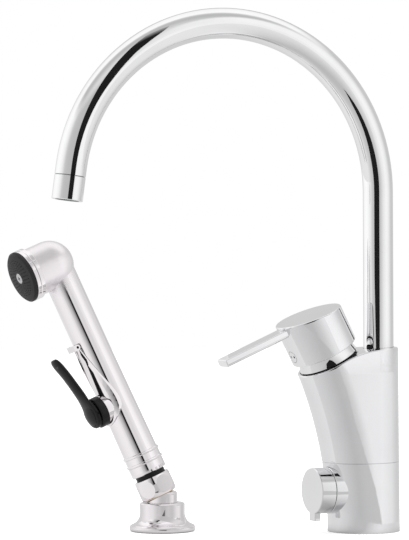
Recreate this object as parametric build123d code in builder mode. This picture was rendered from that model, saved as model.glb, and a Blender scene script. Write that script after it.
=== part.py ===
from build123d import *
import os
from math import cos, pi, radians, sin, sqrt, tan

# Side spray kitchen faucet: a single-lever mixer with a swivelling gooseneck spout and a
# dishwasher valve, and beside it a deck holder that carries a lever-operated hand spray.
# Millimetres. The origin is the centre of the mixer's base on the deck, +Z is up and the
# user stands on the -Y side.

os.makedirs("parts", exist_ok=True)

# ---------------------------------------------------------------- clearances
running_gap = 0.05        # radial clearance of a shaft that turns or slides in its bore
seat_gap = 0.02           # radial clearance of a screwed or pressed joint
loose_gap = 0.3           # clearance of parts that must not rub

# ---------------------------------------------------------------- mixer body
base_radius = 25.0        # the foot covers the usual 34 to 37 mm deck hole
body_draft = 0.006        # the half width shrinks by this much per mm of height
front_curve_radius = 265.0
foot_offset = 0.5         # how far the front column stands forward of the rear one at the deck
seam_height = 48.3        # joint between the lower section and the upper body
seam_chamfer = 0.35
loft_top = 136.0
lower_section_count = 4
upper_section_count = 6
rim_zone = 0.78           # edges above this share of the cartridge height belong to the top rim
lever_tilt = 27.0         # the cartridge axis leans forward by this angle
cartridge_y = -27.5
cartridge_z = 119.0
crown_radius = 72.0       # the top face bends from the cartridge slope to nearly level
crown_rear_slope = 3.0
rim_fillet = 1.1
riser_y = 12.1

# ---------------------------------------------------------------- sockets under the mixer
gasket_outer = 23.6
gasket_inner = 18.0
gasket_thickness = 1.2
shank_radius = 15.9
shank_depth = 12.0
port_radius = 4.5         # tapping bore of an M10 x 1 hose tail
port_depth = 10.0
port_circle = 9.5
port_count = 4
channel_radius = 3.5
channel_offset = 6.5
nipple_outer = 14.0
nipple_inner = 10.5
nipple_half_length = 8.0
seam_seal_width = 3.5
seam_seal_thickness = 1.5

# ---------------------------------------------------------------- cartridge and lever
counterbore_radius = 21.6
counterbore_depth = 4.8
ring_foot_radius = 21.2
ring_top_radius = 19.9
ring_height = 6.9
ring_wall = 1.6
ring_lift = 0.8            # shadow gap between the body's rim and the ring's flare
ring_neck_radius = 20.3
ring_hollow = 0.25        # how far the flare is hollowed at half height
ring_hole = 11.5
nut_radius = 18.9
nut_bore = 13.4
nut_top = -3.0
nut_bottom = -9.2
nut_slots = 4
nut_slot_width = 3.0
nut_slot_depth = 2.0
housing_radius = 17.5
housing_bottom = -28.0
housing_neck = 13.2
housing_neck_top = -2.5
housing_wall = 2.1
housing_floor_thickness = 3.0
port_holes = 3
carrier_bottom = -14.0
chamber_seal = 1.2
disc_radius = 15.0
disc_thickness = 3.5
slider_radius = 11.4
slider_thickness = 3.0
slider_block = 10.0
slider_block_height = 4.2
carrier_radius = 10.35
carrier_flange = 14.8
carrier_flange_height = 2.1
carrier_top = -2.0
stem_pivot = -5.0         # height of the lever's lift axis along the cartridge axis
stem_size = 8.4
stem_top = 26.0
stem_ball_radius = 2.6
stem_ball_level = -15.6   # centre of the ball that pushes the sliding disc
stem_neck_radius = 1.9
stem_slot_length = 15.0
stem_pin_radius = 1.5
cap_radius = 23.55
cap_base = 7.3            # height of the cap's lower rim above the body's top face
cap_height = 28.1         # on the cartridge axis
cap_top_wedge = 6.6       # the flat top is this much closer to level than the base
cap_wall = 2.1
cap_cavity = 15.0
cap_edge_fillet = 0.9
cap_boss_radius = 8.6
cap_boss_start = 12.5
arm_width = 14.0
arm_thickness = 5.4
arm_rise = 4.3            # the arm lifts by this angle from the cap's base plane
arm_height = 26.0         # of its centre line where it leaves the cap, above the cap's rim
arm_reach = 49.5
arm_edge_fillet = 0.8
arm_belly_fillet = 2.0
arm_tip_chamfer = 0.6
plug_radius = 4.1
plug_height = 8.1
plug_groove = 0.25
plug_depth = 3.2
grub_radius = 2.5

# ---------------------------------------------------------------- spout
tube_radius = 10.5
tube_wall = 1.0
bend_radius = 115.0
bend_height = 236.0
bend_angle = 172.0
rest_swivel = 2.4         # the spout is stored turned a little to the left of the front
socket_floor = 112.0
socket_gap = 0.35
bush_thickness = 1.5
spigot_radius = 9.2
spigot_bottom = 84.0
spigot_bore = 6.0
spigot_grip = 12.0        # how far it reaches up inside the tube
o_ring_section = 0.8
o_ring_heights = (102.0, 107.0)
groove_height = 94.0
groove_half_width = 2.4
groove_depth = 1.2
spout_screw_radius = 2.0
tail_length = 5.2         # straight end of the tube before the aerator
sleeve_length = 16.7
sleeve_joint = 0.4         # open joint between the tube and the sleeve
sleeve_bevel = 0.3
sleeve_spigot = 6.0
sleeve_lip = 1.6
sleeve_lip_width = 0.6
insert_bore = 7.9
insert_inner = 6.9
aerator_holes = 18
outer_hole_share = 0.75    # hole circles as shares of the insert's bore
inner_hole_share = 0.45
aerator_hole_radius = 0.9

# ---------------------------------------------------------------- dishwasher valve
valve_height = 29.2
valve_boss_radius = 16.1
valve_boss_front = 29.6   # distance of its front face from the mixer's axis
knob_gap = 0.5
knob_radius = 15.9
knob_length = 11.0
knob_edge = 0.8
knob_wall = 2.4
knob_floor = 2.6
knob_hub_radius = 6.2
knob_tab_width = 8.5
knob_tab_thickness = 4.5
knob_tab_drop = 4.8
valve_bore = 9.3
valve_bore_end = 6.8
headwork_hex = 9.0
headwork_hex_length = 3.6
valve_spindle_radius = 3.9
valve_disc_radius = 7.3
valve_disc_thickness = 2.0
valve_flange_thickness = 2.4
valve_seal_thickness = 1.2

# ---------------------------------------------------------------- deck holder
holder_x = -66.2
holder_y = -124.2
flange_radius = 23.1
flange_foot_radius = 22.2
flange_edge_height = 1.7
flare_outer = (21.6, 4.4)
flare_middle = (17.5, 7.2)
collar_foot = 11.5
collar_radius = 15.8
collar_height = 19.8
collar_fillet = 1.6
holder_gasket_inner = 15.0
holder_gasket_outer = 20.5
holder_gasket_thickness = 1.0
holder_socket_radius = 12.6
holder_socket_depth = 9.0
cup_radius = 10.5
cup_bottom = 9.6
cup_top = 28.0
cup_fillet = 2.4
cup_bore = 7.4
cup_bore_top = 17.0

# ---------------------------------------------------------------- hand spray
lean = 24.2               # of the handle from vertical
lean_heading = 24.6       # direction of the lean, from the front towards the left
face_turn = 26.4          # the spray face is turned back by this much about the handle
nut_offset = 4.83         # of the nut's centre from the holder's axis, along the lean
nut_height = 31.6
nut_ball = 14.2
nut_flats = 12.85         # half the distance across flats
nut_half_length = 7.0
nut_turn = -24.8          # direction of the first flat about the handle
washer_radius = 10.6
ferrule_flange = 11.0
ferrule_flange_thickness = 0.5
ferrule_radius = 6.3
ferrule_length = 8.0
ferrule_bore = 3.5
ferrule_chamfer = 1.2
collar_start = 10.4
collar_band_radius = 12.7
bead_radius = 13.4
bead_half_width = 1.1
bead_heights = (18.4, 24.8)
handle_foot_radius = 12.5
handle_waist_radius = 11.7
handle_waist = 100.0
head_height = 170.8
head_radius = 17.0
head_centre = 3.8         # of the domed back, forward of the handle's axis
head_front = 18.9
head_bore = 13.2
handle_bore = 8.6
handle_bore_end = 46.0
water_bore = 3.5
ring_radius = 18.5
rear_ring_length = 3.2
front_ring_length = 3.0
ring_bevel = 0.45
face_radius = 18.3
face_edge_length = 1.4
face_rim_radius = 16.9
face_rim_length = 2.6
face_dome = 4.0
face_boss_radius = 5.0
nozzle_radius = 0.4
nozzle_depth = 1.4
nozzle_rings = ((6.2, 16), (7.9, 20), (9.6, 24), (11.3, 28), (13.0, 32))
face_screw_head = 3.8
face_screw_shank = 2.0
face_screw_length = 9.0
cross_width = 0.8
cross_span = 3.0
face_seal_section = 1.6

# ---------------------------------------------------------------- spray valve and its lever
boss_height = 63.5
boss_radius = 10.1
boss_front = 13.8
boss_bore = 6.5
boss_bore_start = -4.0
collar_disc_radius = 10.9
collar_disc_bore = 5.25
collar_disc_front = 19.3
collar_disc_fillet = 1.0
lug_inner = 5.4
lug_outer = 7.2
lug_half_height = 3.0
lug_front = 23.4
lever_pivot = 21.8
lever_pin_radius = 1.0
lever_pin_half_length = 9.2
lever_back = 20.6
bulb_radius = 9.9
bulb_front = 25.6
bulb_dome_radius = 18.0
bulb_edge_fillet = 1.6
lever_pocket_radius = 8.2
lever_pocket_front = 23.8
# centre line of the arm: height above the pivot's boss and distance forward of the handle's axis
lever_spine = (
    (3.0, 22.4),
    (7.0, 22.6),
    (11.0, 22.9),
    (19.0, 24.2),
    (26.0, 25.7),
    (33.0, 27.4),
    (40.0, 29.5),
    (44.3, 30.8),
    (45.9, 31.2),
)
lever_half_widths = (9.0, 7.8, 7.0, 5.7, 5.4, 5.5, 5.6, 5.0, 3.6)
lever_half_thicknesses = (1.7, 1.9, 2.2, 2.7, 2.7, 2.7, 2.7, 2.1, 1.2)
lever_notch_height = 40.1
lever_notch_width = 1.5
lever_notch_floor = 31.7
cam_height = 3.8
cam_half_height = 0.9
cam_half_width = 2.0
plunger_head_radius = 4.6
plunger_head_front = 18.9
plunger_head_thickness = 1.6
plunger_radius = 2.4
plunger_tail = -1.0
plunger_travel = 0.35
plunger_seal_thickness = 2.0
spring_wire = 0.5
spring_turns = 4
spring_radius = 4.3

# ---------------------------------------------------------------- hold-open clip
bail_gap = 0.3
bail_thickness = 0.8
bail_width = 2.0
bail_neck_half_width = 3.0
bail_bow = ((7.2, 35.5), (10.6, 20.0))
catch_height = 110.6
catch_pin_front = 12.9
catch_pin_radius = 0.9
catch_ear_centre = 5.5
catch_ear_thickness = 1.0
catch_ear_back_radius = 2.0
catch_half_height = 2.1
catch_front = 15.7
bail_eye_centre = 3.9
bail_eye_radius = 1.5
bail_eye_thickness = 1.0


def section_plane(frame):
    """Plane that holds a frame's x and z axes, for outlines turned about its z axis."""
    return Plane(origin=frame.origin, x_dir=frame.x_dir, z_dir=frame.y_dir * -1)


def spin_axis(frame):
    """Axis of revolution of a frame: its z axis."""
    return Axis(frame.origin, frame.z_dir)


def finish(piece, name):
    """Label a finished piece and write it under its node's name."""
    piece.part.label = name
    export_step(piece.part, f"parts/{name}.step")


# ---------------------------------------------------------------- frames
tilt = radians(lever_tilt)
cartridge_frame = Plane(
    origin=(0, cartridge_y, cartridge_z), x_dir=(1, 0, 0), z_dir=(0, -sin(tilt), cos(tilt))
)
valve_frame = Plane(origin=(0, 0, valve_height), x_dir=(1, 0, 0), z_dir=(0, -1, 0))
riser_frame = Plane(origin=(0, riser_y, 0))
swivel = radians(rest_swivel)
spout_forward = Vector(-sin(swivel), -cos(swivel), 0)
spout_frame = Plane(
    origin=(0, riser_y, 0), x_dir=spout_forward, z_dir=spout_forward.cross(Vector(0, 0, 1))
)
holder_frame = Plane(origin=(holder_x, holder_y, 0))
heading = radians(lean_heading)
lean_direction = Vector(-sin(heading), -cos(heading), 0)
lean_side = Vector(cos(heading), -sin(heading), 0)
handle_axis = lean_direction * sin(radians(lean)) + Vector(0, 0, cos(radians(lean)))
lean_forward = lean_direction * cos(radians(lean)) - Vector(0, 0, sin(radians(lean)))
spray_direction = (
    lean_forward * cos(radians(face_turn)) + lean_side * sin(radians(face_turn))
).normalized()
nut_centre = Vector(holder_x, holder_y, nut_height) + lean_direction * nut_offset
handset_frame = Plane(
    origin=nut_centre, x_dir=(spray_direction * -1).cross(handle_axis), z_dir=handle_axis
)


def handset_point(x, forward, height):
    """Global point from the handset's own side, forward and height distances."""
    return handset_frame.from_local_coords((x, -forward, height))


def forward_frame(height, forward=0.0):
    """Frame whose z axis is the spray direction and whose y axis runs up the handle."""
    return Plane(
        origin=handset_point(0, forward, height), x_dir=handset_frame.x_dir, z_dir=spray_direction
    )


def handle_radius(height):
    """Radius of the tapered handle at a height along it."""
    taper_start = bead_heights[1] + bead_half_width
    taper = (height - taper_start) / (handle_waist - taper_start)
    return handle_foot_radius + (handle_waist_radius - handle_foot_radius) * taper


boss_frame = forward_frame(boss_height)
head_frame = forward_frame(head_height)


# ---------------------------------------------------------------- body sections
def body_half_width(height):
    """Half width of the mixer's body at a height."""
    return base_radius - body_draft * height


def front_offset(height):
    """How far the centre of the front round stands forward of the rear one."""
    curve = front_curve_radius - sqrt(front_curve_radius**2 - height**2)
    return foot_offset + curve


def levels(bottom, top, count):
    """Evenly spaced heights from bottom to top."""
    return [bottom + (top - bottom) * step / count for step in range(count + 1)]


# ================================================================ mixer, lower section
with BuildPart() as base_section:
    for height in levels(0, seam_height, lower_section_count):
        with BuildSketch(Plane.XY.offset(height)):
            with Locations((0, -front_offset(height) / 2)):
                SlotCenterToCenter(front_offset(height), 2 * body_half_width(height), rotation=90)
    loft()
    with BuildSketch(valve_frame):
        Circle(valve_boss_radius)
    extrude(amount=valve_boss_front)
    seam_edges = base_section.faces().sort_by(Axis.Z)[-1].edges()
    chamfer(seam_edges, seam_chamfer)
    boss_face = base_section.faces().sort_by(Axis.Y)[0]
    chamfer(boss_face.edges(), seam_chamfer)
    with BuildSketch():
        Circle(gasket_outer)
        Circle(gasket_inner, mode=Mode.SUBTRACT)
    extrude(amount=gasket_thickness, mode=Mode.SUBTRACT)
    with BuildSketch():
        Circle(shank_radius)
    extrude(amount=shank_depth, mode=Mode.SUBTRACT)
    with BuildSketch(Plane.XY.offset(shank_depth)):
        with PolarLocations(port_circle, port_count):
            Circle(port_radius)
    extrude(amount=port_depth, mode=Mode.SUBTRACT)
    with BuildSketch(valve_frame.offset(valve_bore_end)):
        Circle(valve_bore)
    extrude(amount=valve_boss_front, mode=Mode.SUBTRACT)
    with BuildSketch(Plane.XY.offset(seam_height - nipple_half_length)):
        Circle(nipple_outer + seat_gap)
    extrude(amount=nipple_half_length, mode=Mode.SUBTRACT)
    with BuildSketch(Plane.XY.offset(seam_height - seam_seal_thickness)):
        Circle(nipple_outer + seam_seal_width)
    extrude(amount=seam_seal_thickness, mode=Mode.SUBTRACT)
finish(base_section, "base_section")

with BuildPart() as base_gasket:
    with BuildSketch():
        Circle(gasket_outer)
        Circle(gasket_inner, mode=Mode.SUBTRACT)
    extrude(amount=gasket_thickness)
finish(base_gasket, "base_gasket")

with BuildPart() as seam_seal:
    with BuildSketch(Plane.XY.offset(seam_height - seam_seal_thickness)):
        Circle(nipple_outer + seam_seal_width)
        Circle(nipple_outer + seat_gap, mode=Mode.SUBTRACT)
    extrude(amount=seam_seal_thickness)
finish(seam_seal, "seam_seal")

with BuildPart() as joining_nipple:
    with BuildSketch(Plane.XY.offset(seam_height - nipple_half_length)):
        Circle(nipple_outer)
        Circle(nipple_inner, mode=Mode.SUBTRACT)
    extrude(amount=2 * nipple_half_length)
finish(joining_nipple, "joining_nipple")

# ================================================================ mixer, upper body
chamber_floor = housing_bottom - chamber_seal
crown_end_y = cartridge_y + crown_radius * (sin(tilt) - sin(radians(crown_rear_slope)))
crown_end_z = cartridge_z + crown_radius * (cos(radians(crown_rear_slope)) - cos(tilt))
crown_middle = radians((lever_tilt + crown_rear_slope) / 2)
crown_middle_y = cartridge_y + crown_radius * (sin(tilt) - sin(crown_middle))
crown_middle_z = cartridge_z + crown_radius * (cos(crown_middle) - cos(tilt))
crown_span = 3 * base_radius
socket_radius = tube_radius + socket_gap
spigot_socket = spigot_radius + running_gap

with BuildPart() as mixer_body:
    for height in levels(seam_height, loft_top, upper_section_count):
        with BuildSketch(Plane.XY.offset(height)):
            with Locations((0, -front_offset(height) / 2)):
                SlotCenterToCenter(front_offset(height), 2 * body_half_width(height), rotation=90)
    loft()
    with BuildSketch(Plane.YZ):
        with BuildLine():
            front_end = (cartridge_y - crown_span, cartridge_z - crown_span * tan(tilt))
            Line(front_end, (cartridge_y, cartridge_z))
            ThreePointArc(
                (cartridge_y, cartridge_z), (crown_middle_y, crown_middle_z), (crown_end_y, crown_end_z)
            )
            rear_end = (crown_span, crown_end_z + (crown_span - crown_end_y) * tan(radians(crown_rear_slope)))
            Line((crown_end_y, crown_end_z), rear_end)
            Polyline(rear_end, (crown_span, 2 * loft_top), (front_end[0], 2 * loft_top), front_end)
        make_face()
    extrude(amount=2 * base_radius, both=True, mode=Mode.SUBTRACT)
    high_edges = mixer_body.edges().filter_by(lambda edge: edge.center().Z > rim_zone * cartridge_z)
    rim_edges = high_edges.filter_by(Axis.X, reverse=True)
    fillet(rim_edges, rim_fillet)
    chamfer(mixer_body.faces().sort_by(Axis.Z)[0].edges(), seam_chamfer)
    with BuildSketch(cartridge_frame.offset(-counterbore_depth)):
        Circle(counterbore_radius)
    extrude(amount=counterbore_depth + cap_base, mode=Mode.SUBTRACT)
    with BuildSketch(cartridge_frame.offset(nut_bottom)):
        Circle(nut_radius + seat_gap)
    extrude(amount=-nut_bottom, mode=Mode.SUBTRACT)
    with BuildSketch(cartridge_frame.offset(chamber_floor)):
        Circle(housing_radius + seat_gap)
    extrude(amount=-chamber_floor, mode=Mode.SUBTRACT)
    with BuildSketch(riser_frame.offset(socket_floor)):
        Circle(socket_radius)
    extrude(amount=loft_top - socket_floor, mode=Mode.SUBTRACT)
    with BuildSketch(riser_frame.offset(spigot_bottom - loose_gap)):
        Circle(spigot_socket)
    extrude(amount=socket_floor, mode=Mode.SUBTRACT)
    with BuildSketch(Plane(origin=(0, riser_y, groove_height), x_dir=(1, 0, 0), z_dir=(0, 1, 0))):
        Circle(spout_screw_radius + seat_gap)
    extrude(amount=base_radius, mode=Mode.SUBTRACT)
    with BuildSketch(Plane.XY.offset(seam_height)):
        Circle(nipple_outer + seat_gap)
    extrude(amount=nipple_half_length, mode=Mode.SUBTRACT)
    with BuildSketch(Plane.XY.offset(seam_height)):
        with Locations((-channel_offset, -channel_offset), (channel_offset, -channel_offset)):
            Circle(channel_radius)
    extrude(amount=groove_height - seam_height, mode=Mode.SUBTRACT)
finish(mixer_body, "mixer_body")

# ================================================================ cartridge
with BuildPart() as cartridge_seals:
    with BuildSketch(cartridge_frame.offset(chamber_floor)):
        with PolarLocations(disc_radius / 2, port_holes):
            Circle(port_radius)
            Circle(port_radius - chamber_seal, mode=Mode.SUBTRACT)
    extrude(amount=chamber_seal)
finish(cartridge_seals, "cartridge_seals")

housing_floor = housing_bottom + housing_floor_thickness
with BuildPart() as cartridge_housing:
    with BuildSketch(cartridge_frame.offset(housing_bottom)):
        Circle(housing_radius)
    extrude(amount=nut_bottom - housing_bottom)
    with BuildSketch(cartridge_frame.offset(nut_bottom)):
        Circle(housing_neck)
    extrude(amount=housing_neck_top - nut_bottom)
    cavity_top = carrier_bottom + carrier_flange_height
    with BuildSketch(cartridge_frame.offset(housing_floor)):
        Circle(housing_radius - housing_wall)
    extrude(amount=cavity_top - housing_floor, mode=Mode.SUBTRACT)
    with BuildSketch(cartridge_frame.offset(housing_floor)):
        Circle(carrier_radius + running_gap)
    extrude(amount=-housing_floor, mode=Mode.SUBTRACT)
    with BuildSketch(cartridge_frame.offset(housing_bottom)):
        with PolarLocations(disc_radius / 2, port_holes):
            Circle(port_radius - chamber_seal)
    extrude(amount=housing_floor_thickness, mode=Mode.SUBTRACT)
finish(cartridge_housing, "cartridge_housing")

with BuildPart() as fixed_disc:
    with BuildSketch(cartridge_frame.offset(housing_floor)):
        Circle(disc_radius)
        with PolarLocations(disc_radius / 2, port_holes):
            Circle(port_radius - chamber_seal, mode=Mode.SUBTRACT)
    extrude(amount=disc_thickness)
finish(fixed_disc, "fixed_disc")

slider_bottom = housing_floor + disc_thickness
slider_top = slider_bottom + slider_thickness
with BuildPart() as moving_disc:
    with BuildSketch(cartridge_frame.offset(slider_bottom)):
        Circle(slider_radius)
    extrude(amount=slider_thickness)
    with BuildSketch(cartridge_frame.offset(slider_top)):
        Rectangle(slider_block, slider_block)
    extrude(amount=slider_block_height)
    with BuildSketch(cartridge_frame.offset(slider_top)):
        Circle(stem_ball_radius + loose_gap)
    extrude(amount=slider_block_height, mode=Mode.SUBTRACT)
finish(moving_disc, "moving_disc")

with BuildPart() as stem_carrier:
    with BuildSketch(cartridge_frame.offset(carrier_bottom)):
        Circle(carrier_flange)
    extrude(amount=carrier_flange_height)
    with BuildSketch(cartridge_frame.offset(carrier_bottom)):
        Circle(carrier_radius)
    extrude(amount=carrier_top - carrier_bottom)
    with BuildSketch(cartridge_frame.offset(carrier_bottom)):
        Rectangle(stem_size + 2 * loose_gap, stem_slot_length)
    extrude(amount=carrier_top - carrier_bottom, mode=Mode.SUBTRACT)
    pin_plane = Plane(
        origin=cartridge_frame.from_local_coords((0, 0, stem_pivot)), x_dir=(0, 1, 0), z_dir=(1, 0, 0)
    )
    with BuildSketch(pin_plane):
        Circle(stem_pin_radius + seat_gap)
    extrude(amount=carrier_radius, both=True, mode=Mode.SUBTRACT)
finish(stem_carrier, "stem_carrier")

with BuildPart() as stem_pin:
    with BuildSketch(pin_plane):
        Circle(stem_pin_radius)
    extrude(amount=carrier_radius - 2 * loose_gap, both=True)
finish(stem_pin, "stem_pin")

stem_square_bottom = stem_pivot - stem_size / 2
with BuildPart() as lever_stem:
    with BuildSketch(cartridge_frame.offset(stem_square_bottom)):
        Rectangle(stem_size, stem_size)
    extrude(amount=stem_top - stem_square_bottom)
    with BuildSketch(cartridge_frame.offset(stem_ball_level)):
        Circle(stem_neck_radius)
    extrude(amount=stem_square_bottom - stem_ball_level)
    with Locations(cartridge_frame.offset(stem_ball_level)):
        Sphere(stem_ball_radius)
    with BuildSketch(pin_plane):
        Circle(stem_pin_radius + running_gap)
    extrude(amount=stem_size, both=True, mode=Mode.SUBTRACT)
finish(lever_stem, "lever_stem")

with BuildPart() as cartridge_nut:
    with BuildSketch(cartridge_frame.offset(nut_bottom)):
        Circle(nut_radius)
        Circle(nut_bore, mode=Mode.SUBTRACT)
    extrude(amount=nut_top - nut_bottom)
    with BuildSketch(cartridge_frame.offset(nut_top)):
        with PolarLocations(nut_bore, nut_slots):
            Rectangle(nut_radius - nut_bore, nut_slot_width)
    extrude(amount=-nut_slot_depth, mode=Mode.SUBTRACT)
finish(cartridge_nut, "cartridge_nut")

with BuildPart() as cap_ring:
    with BuildSketch(section_plane(cartridge_frame)):
        with BuildLine():
            Polyline(
                (ring_neck_radius, -counterbore_depth),
                (ring_neck_radius, ring_lift),
                (ring_foot_radius, ring_lift),
            )
            flare_middle_radius = (ring_foot_radius + ring_top_radius) / 2 - ring_hollow
            ThreePointArc(
                (ring_foot_radius, ring_lift),
                (flare_middle_radius, (ring_lift + ring_height) / 2),
                (ring_top_radius, ring_height),
            )
            Polyline(
                (ring_top_radius, ring_height),
                (ring_hole, ring_height),
                (ring_hole, ring_height - ring_wall),
                (ring_top_radius - ring_wall, ring_height - ring_wall),
                (nut_radius + running_gap, 0),
                (nut_radius + running_gap, -counterbore_depth),
                (ring_neck_radius, -counterbore_depth),
            )
        make_face()
    revolve(axis=spin_axis(cartridge_frame))
finish(cap_ring, "cap_ring")

# ================================================================ lever
wedge = radians(cap_top_wedge)
cap_axis_top = cap_base + cap_height
cap_top_plane = Plane(
    origin=cartridge_frame.from_local_coords((0, 0, cap_axis_top)),
    x_dir=(1, 0, 0),
    z_dir=(0, -sin(tilt - wedge), cos(tilt - wedge)),
)
arm_slope = tilt - radians(arm_rise)
arm_frame = Plane(
    origin=cartridge_frame.from_local_coords((0, -cap_radius, cap_base + arm_height)),
    x_dir=(1, 0, 0),
    z_dir=(0, -cos(arm_slope), -sin(arm_slope)),
)
plug_frame = Plane(
    origin=cartridge_frame.from_local_coords((0, 0, cap_base + plug_height)),
    x_dir=(1, 0, 0),
    z_dir=cartridge_frame.y_dir * -1,
)
arm_root = cap_radius / 2

with BuildPart() as lever_handle:
    with BuildSketch(cartridge_frame.offset(cap_base)):
        Circle(cap_radius)
    extrude(amount=2 * cap_height)
    split(bisect_by=cap_top_plane, keep=Keep.BOTTOM)
    cap_edges = lever_handle.edges().filter_by(GeomType.LINE, reverse=True)
    fillet(cap_edges, cap_edge_fillet)
    with BuildSketch(arm_frame.offset(-arm_root)):
        Rectangle(arm_width, arm_thickness)
    extrude(amount=arm_root + arm_reach)
    arm_lines = lever_handle.edges().filter_by(spin_axis(arm_frame))
    arm_belly = arm_lines.sort_by(Axis.Z)[:2]
    fillet(arm_belly, arm_belly_fillet)
    arm_back = lever_handle.edges().filter_by(spin_axis(arm_frame)).sort_by(Axis.Z)[-2:]
    fillet(arm_back, arm_edge_fillet)
    tip_edges = lever_handle.faces().sort_by(Axis.Y)[0].edges()
    chamfer(tip_edges.sort_by(Axis.Z)[-1], arm_tip_chamfer)
    with BuildSketch(cartridge_frame.offset(cap_base)):
        Circle(cap_radius - cap_wall)
    extrude(amount=cap_cavity, mode=Mode.SUBTRACT)
    with BuildSketch(cartridge_frame.offset(cap_boss_start)):
        Circle(cap_boss_radius)
    extrude(amount=cap_base + cap_cavity - cap_boss_start + cap_wall)
    with BuildSketch(cartridge_frame.offset(cap_boss_start)):
        Rectangle(stem_size + 2 * seat_gap, stem_size + 2 * seat_gap)
    extrude(amount=stem_top - cap_boss_start, mode=Mode.SUBTRACT)
    with BuildSketch(plug_frame):
        Circle(grub_radius + seat_gap)
    extrude(amount=cap_radius, mode=Mode.SUBTRACT)
    with BuildSketch(plug_frame.offset(cap_radius - plug_depth)):
        Circle(plug_radius + plug_groove)
    extrude(amount=plug_depth, mode=Mode.SUBTRACT)
finish(lever_handle, "lever_handle")

with BuildPart() as lever_grub_screw:
    with BuildSketch(plug_frame.offset(stem_size / 2)):
        Circle(grub_radius)
    extrude(amount=cap_boss_radius - stem_size / 2)
    with BuildSketch(plug_frame.offset(cap_boss_radius)):
        RegularPolygon(grub_radius / 2, 6)
    extrude(amount=-grub_radius, mode=Mode.SUBTRACT)
finish(lever_grub_screw, "lever_grub_screw")

with BuildPart() as index_plug:
    with BuildSketch(plug_frame.offset(cap_radius - cap_wall)):
        Circle(plug_radius)
    extrude(amount=cap_wall)
    with BuildSketch(cartridge_frame.offset(cap_base)):
        Circle(cap_radius)
    extrude(amount=cap_height, mode=Mode.INTERSECT)
finish(index_plug, "index_plug")

# ================================================================ spout
tube_foot = socket_floor + bush_thickness
bend_end = radians(180 - bend_angle)
bend_end_point = (bend_radius * (1 + cos(bend_end)), bend_height + bend_radius * sin(bend_end))
end_direction = (sin(bend_end), -cos(bend_end))
tube_end_point = tuple(bend_end_point[i] + end_direction[i] * tail_length for i in range(2))
outlet_frame = Plane(
    origin=spout_frame.from_local_coords((tube_end_point[0], tube_end_point[1], 0)),
    x_dir=spout_frame.z_dir,
    z_dir=spout_forward * end_direction[0] + Vector(0, 0, end_direction[1]),
)

with BuildPart() as spout_tube:
    with BuildLine(spout_frame):
        Line((0, tube_foot), (0, bend_height))
        CenterArc((bend_radius, bend_height), bend_radius, 180, -bend_angle)
        Line(bend_end_point, tube_end_point)
    with BuildSketch(riser_frame.offset(tube_foot)):
        Circle(tube_radius)
        Circle(tube_radius - tube_wall, mode=Mode.SUBTRACT)
    sweep()
finish(spout_tube, "spout_tube")

tube_bore = tube_radius - tube_wall
with BuildPart() as spout_spigot:
    with BuildSketch(riser_frame.offset(spigot_bottom)):
        Circle(spigot_radius)
    extrude(amount=socket_floor - spigot_bottom)
    with BuildSketch(riser_frame.offset(socket_floor)):
        Circle(spigot_radius)
    extrude(amount=bush_thickness)
    with BuildSketch(riser_frame.offset(tube_foot)):
        Circle(tube_bore - seat_gap)
    extrude(amount=spigot_grip)
    with BuildSketch(riser_frame.offset(groove_height - groove_half_width)):
        Circle(spigot_radius)
        Circle(spigot_radius - groove_depth, mode=Mode.SUBTRACT)
    extrude(amount=2 * groove_half_width, mode=Mode.SUBTRACT)
    for ring_level in o_ring_heights:
        with BuildSketch(riser_frame.offset(ring_level - 1.5 * o_ring_section)):
            Circle(spigot_radius)
            Circle(spigot_radius - 2 * o_ring_section, mode=Mode.SUBTRACT)
        extrude(amount=3 * o_ring_section, mode=Mode.SUBTRACT)
    with BuildSketch(riser_frame.offset(spigot_bottom)):
        Circle(spigot_bore)
    extrude(amount=tube_foot + spigot_grip - spigot_bottom, mode=Mode.SUBTRACT)
finish(spout_spigot, "spout_spigot")

with BuildPart() as spout_o_rings:
    for ring_level in o_ring_heights:
        with BuildSketch(section_plane(riser_frame)):
            with Locations((spigot_radius - o_ring_section, ring_level)):
                Circle(o_ring_section)
        revolve(axis=spin_axis(riser_frame))
finish(spout_o_rings, "spout_o_rings")

with BuildPart() as spout_bush:
    with BuildSketch(riser_frame.offset(socket_floor)):
        Circle(socket_radius - running_gap)
        Circle(spigot_radius + running_gap, mode=Mode.SUBTRACT)
    extrude(amount=bush_thickness)
finish(spout_bush, "spout_bush")

screw_frame = Plane(origin=(0, riser_y, groove_height), x_dir=(1, 0, 0), z_dir=(0, 1, 0))
screw_start = spigot_radius - groove_depth + loose_gap
screw_end = body_half_width(groove_height) - riser_y - loose_gap
with BuildPart() as spout_screw:
    with BuildSketch(screw_frame.offset(screw_start)):
        Circle(spout_screw_radius)
    extrude(amount=screw_end - screw_start)
    with BuildSketch(screw_frame.offset(screw_end)):
        RegularPolygon(spout_screw_radius / 2, 6)
    extrude(amount=-spout_screw_radius, mode=Mode.SUBTRACT)
finish(spout_screw, "spout_screw")

sleeve_bore = tube_bore - ring_bevel - loose_gap
with BuildPart() as aerator_sleeve:
    with BuildSketch(outlet_frame.offset(sleeve_joint)):
        Circle(tube_radius)
    extrude(amount=sleeve_length - sleeve_joint)
    chamfer(aerator_sleeve.edges().filter_by(GeomType.CIRCLE), sleeve_bevel)
    with BuildSketch(outlet_frame.offset(-sleeve_spigot)):
        Circle(tube_bore - seat_gap)
    extrude(amount=sleeve_spigot + sleeve_joint + sleeve_bevel)
    with BuildSketch(outlet_frame.offset(-sleeve_spigot)):
        Circle(sleeve_bore)
    extrude(amount=sleeve_spigot + sleeve_length - sleeve_lip, mode=Mode.SUBTRACT)
    with BuildSketch(outlet_frame):
        Circle(sleeve_bore - sleeve_lip_width)
    extrude(amount=sleeve_length, mode=Mode.SUBTRACT)
finish(aerator_sleeve, "aerator_sleeve")

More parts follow.
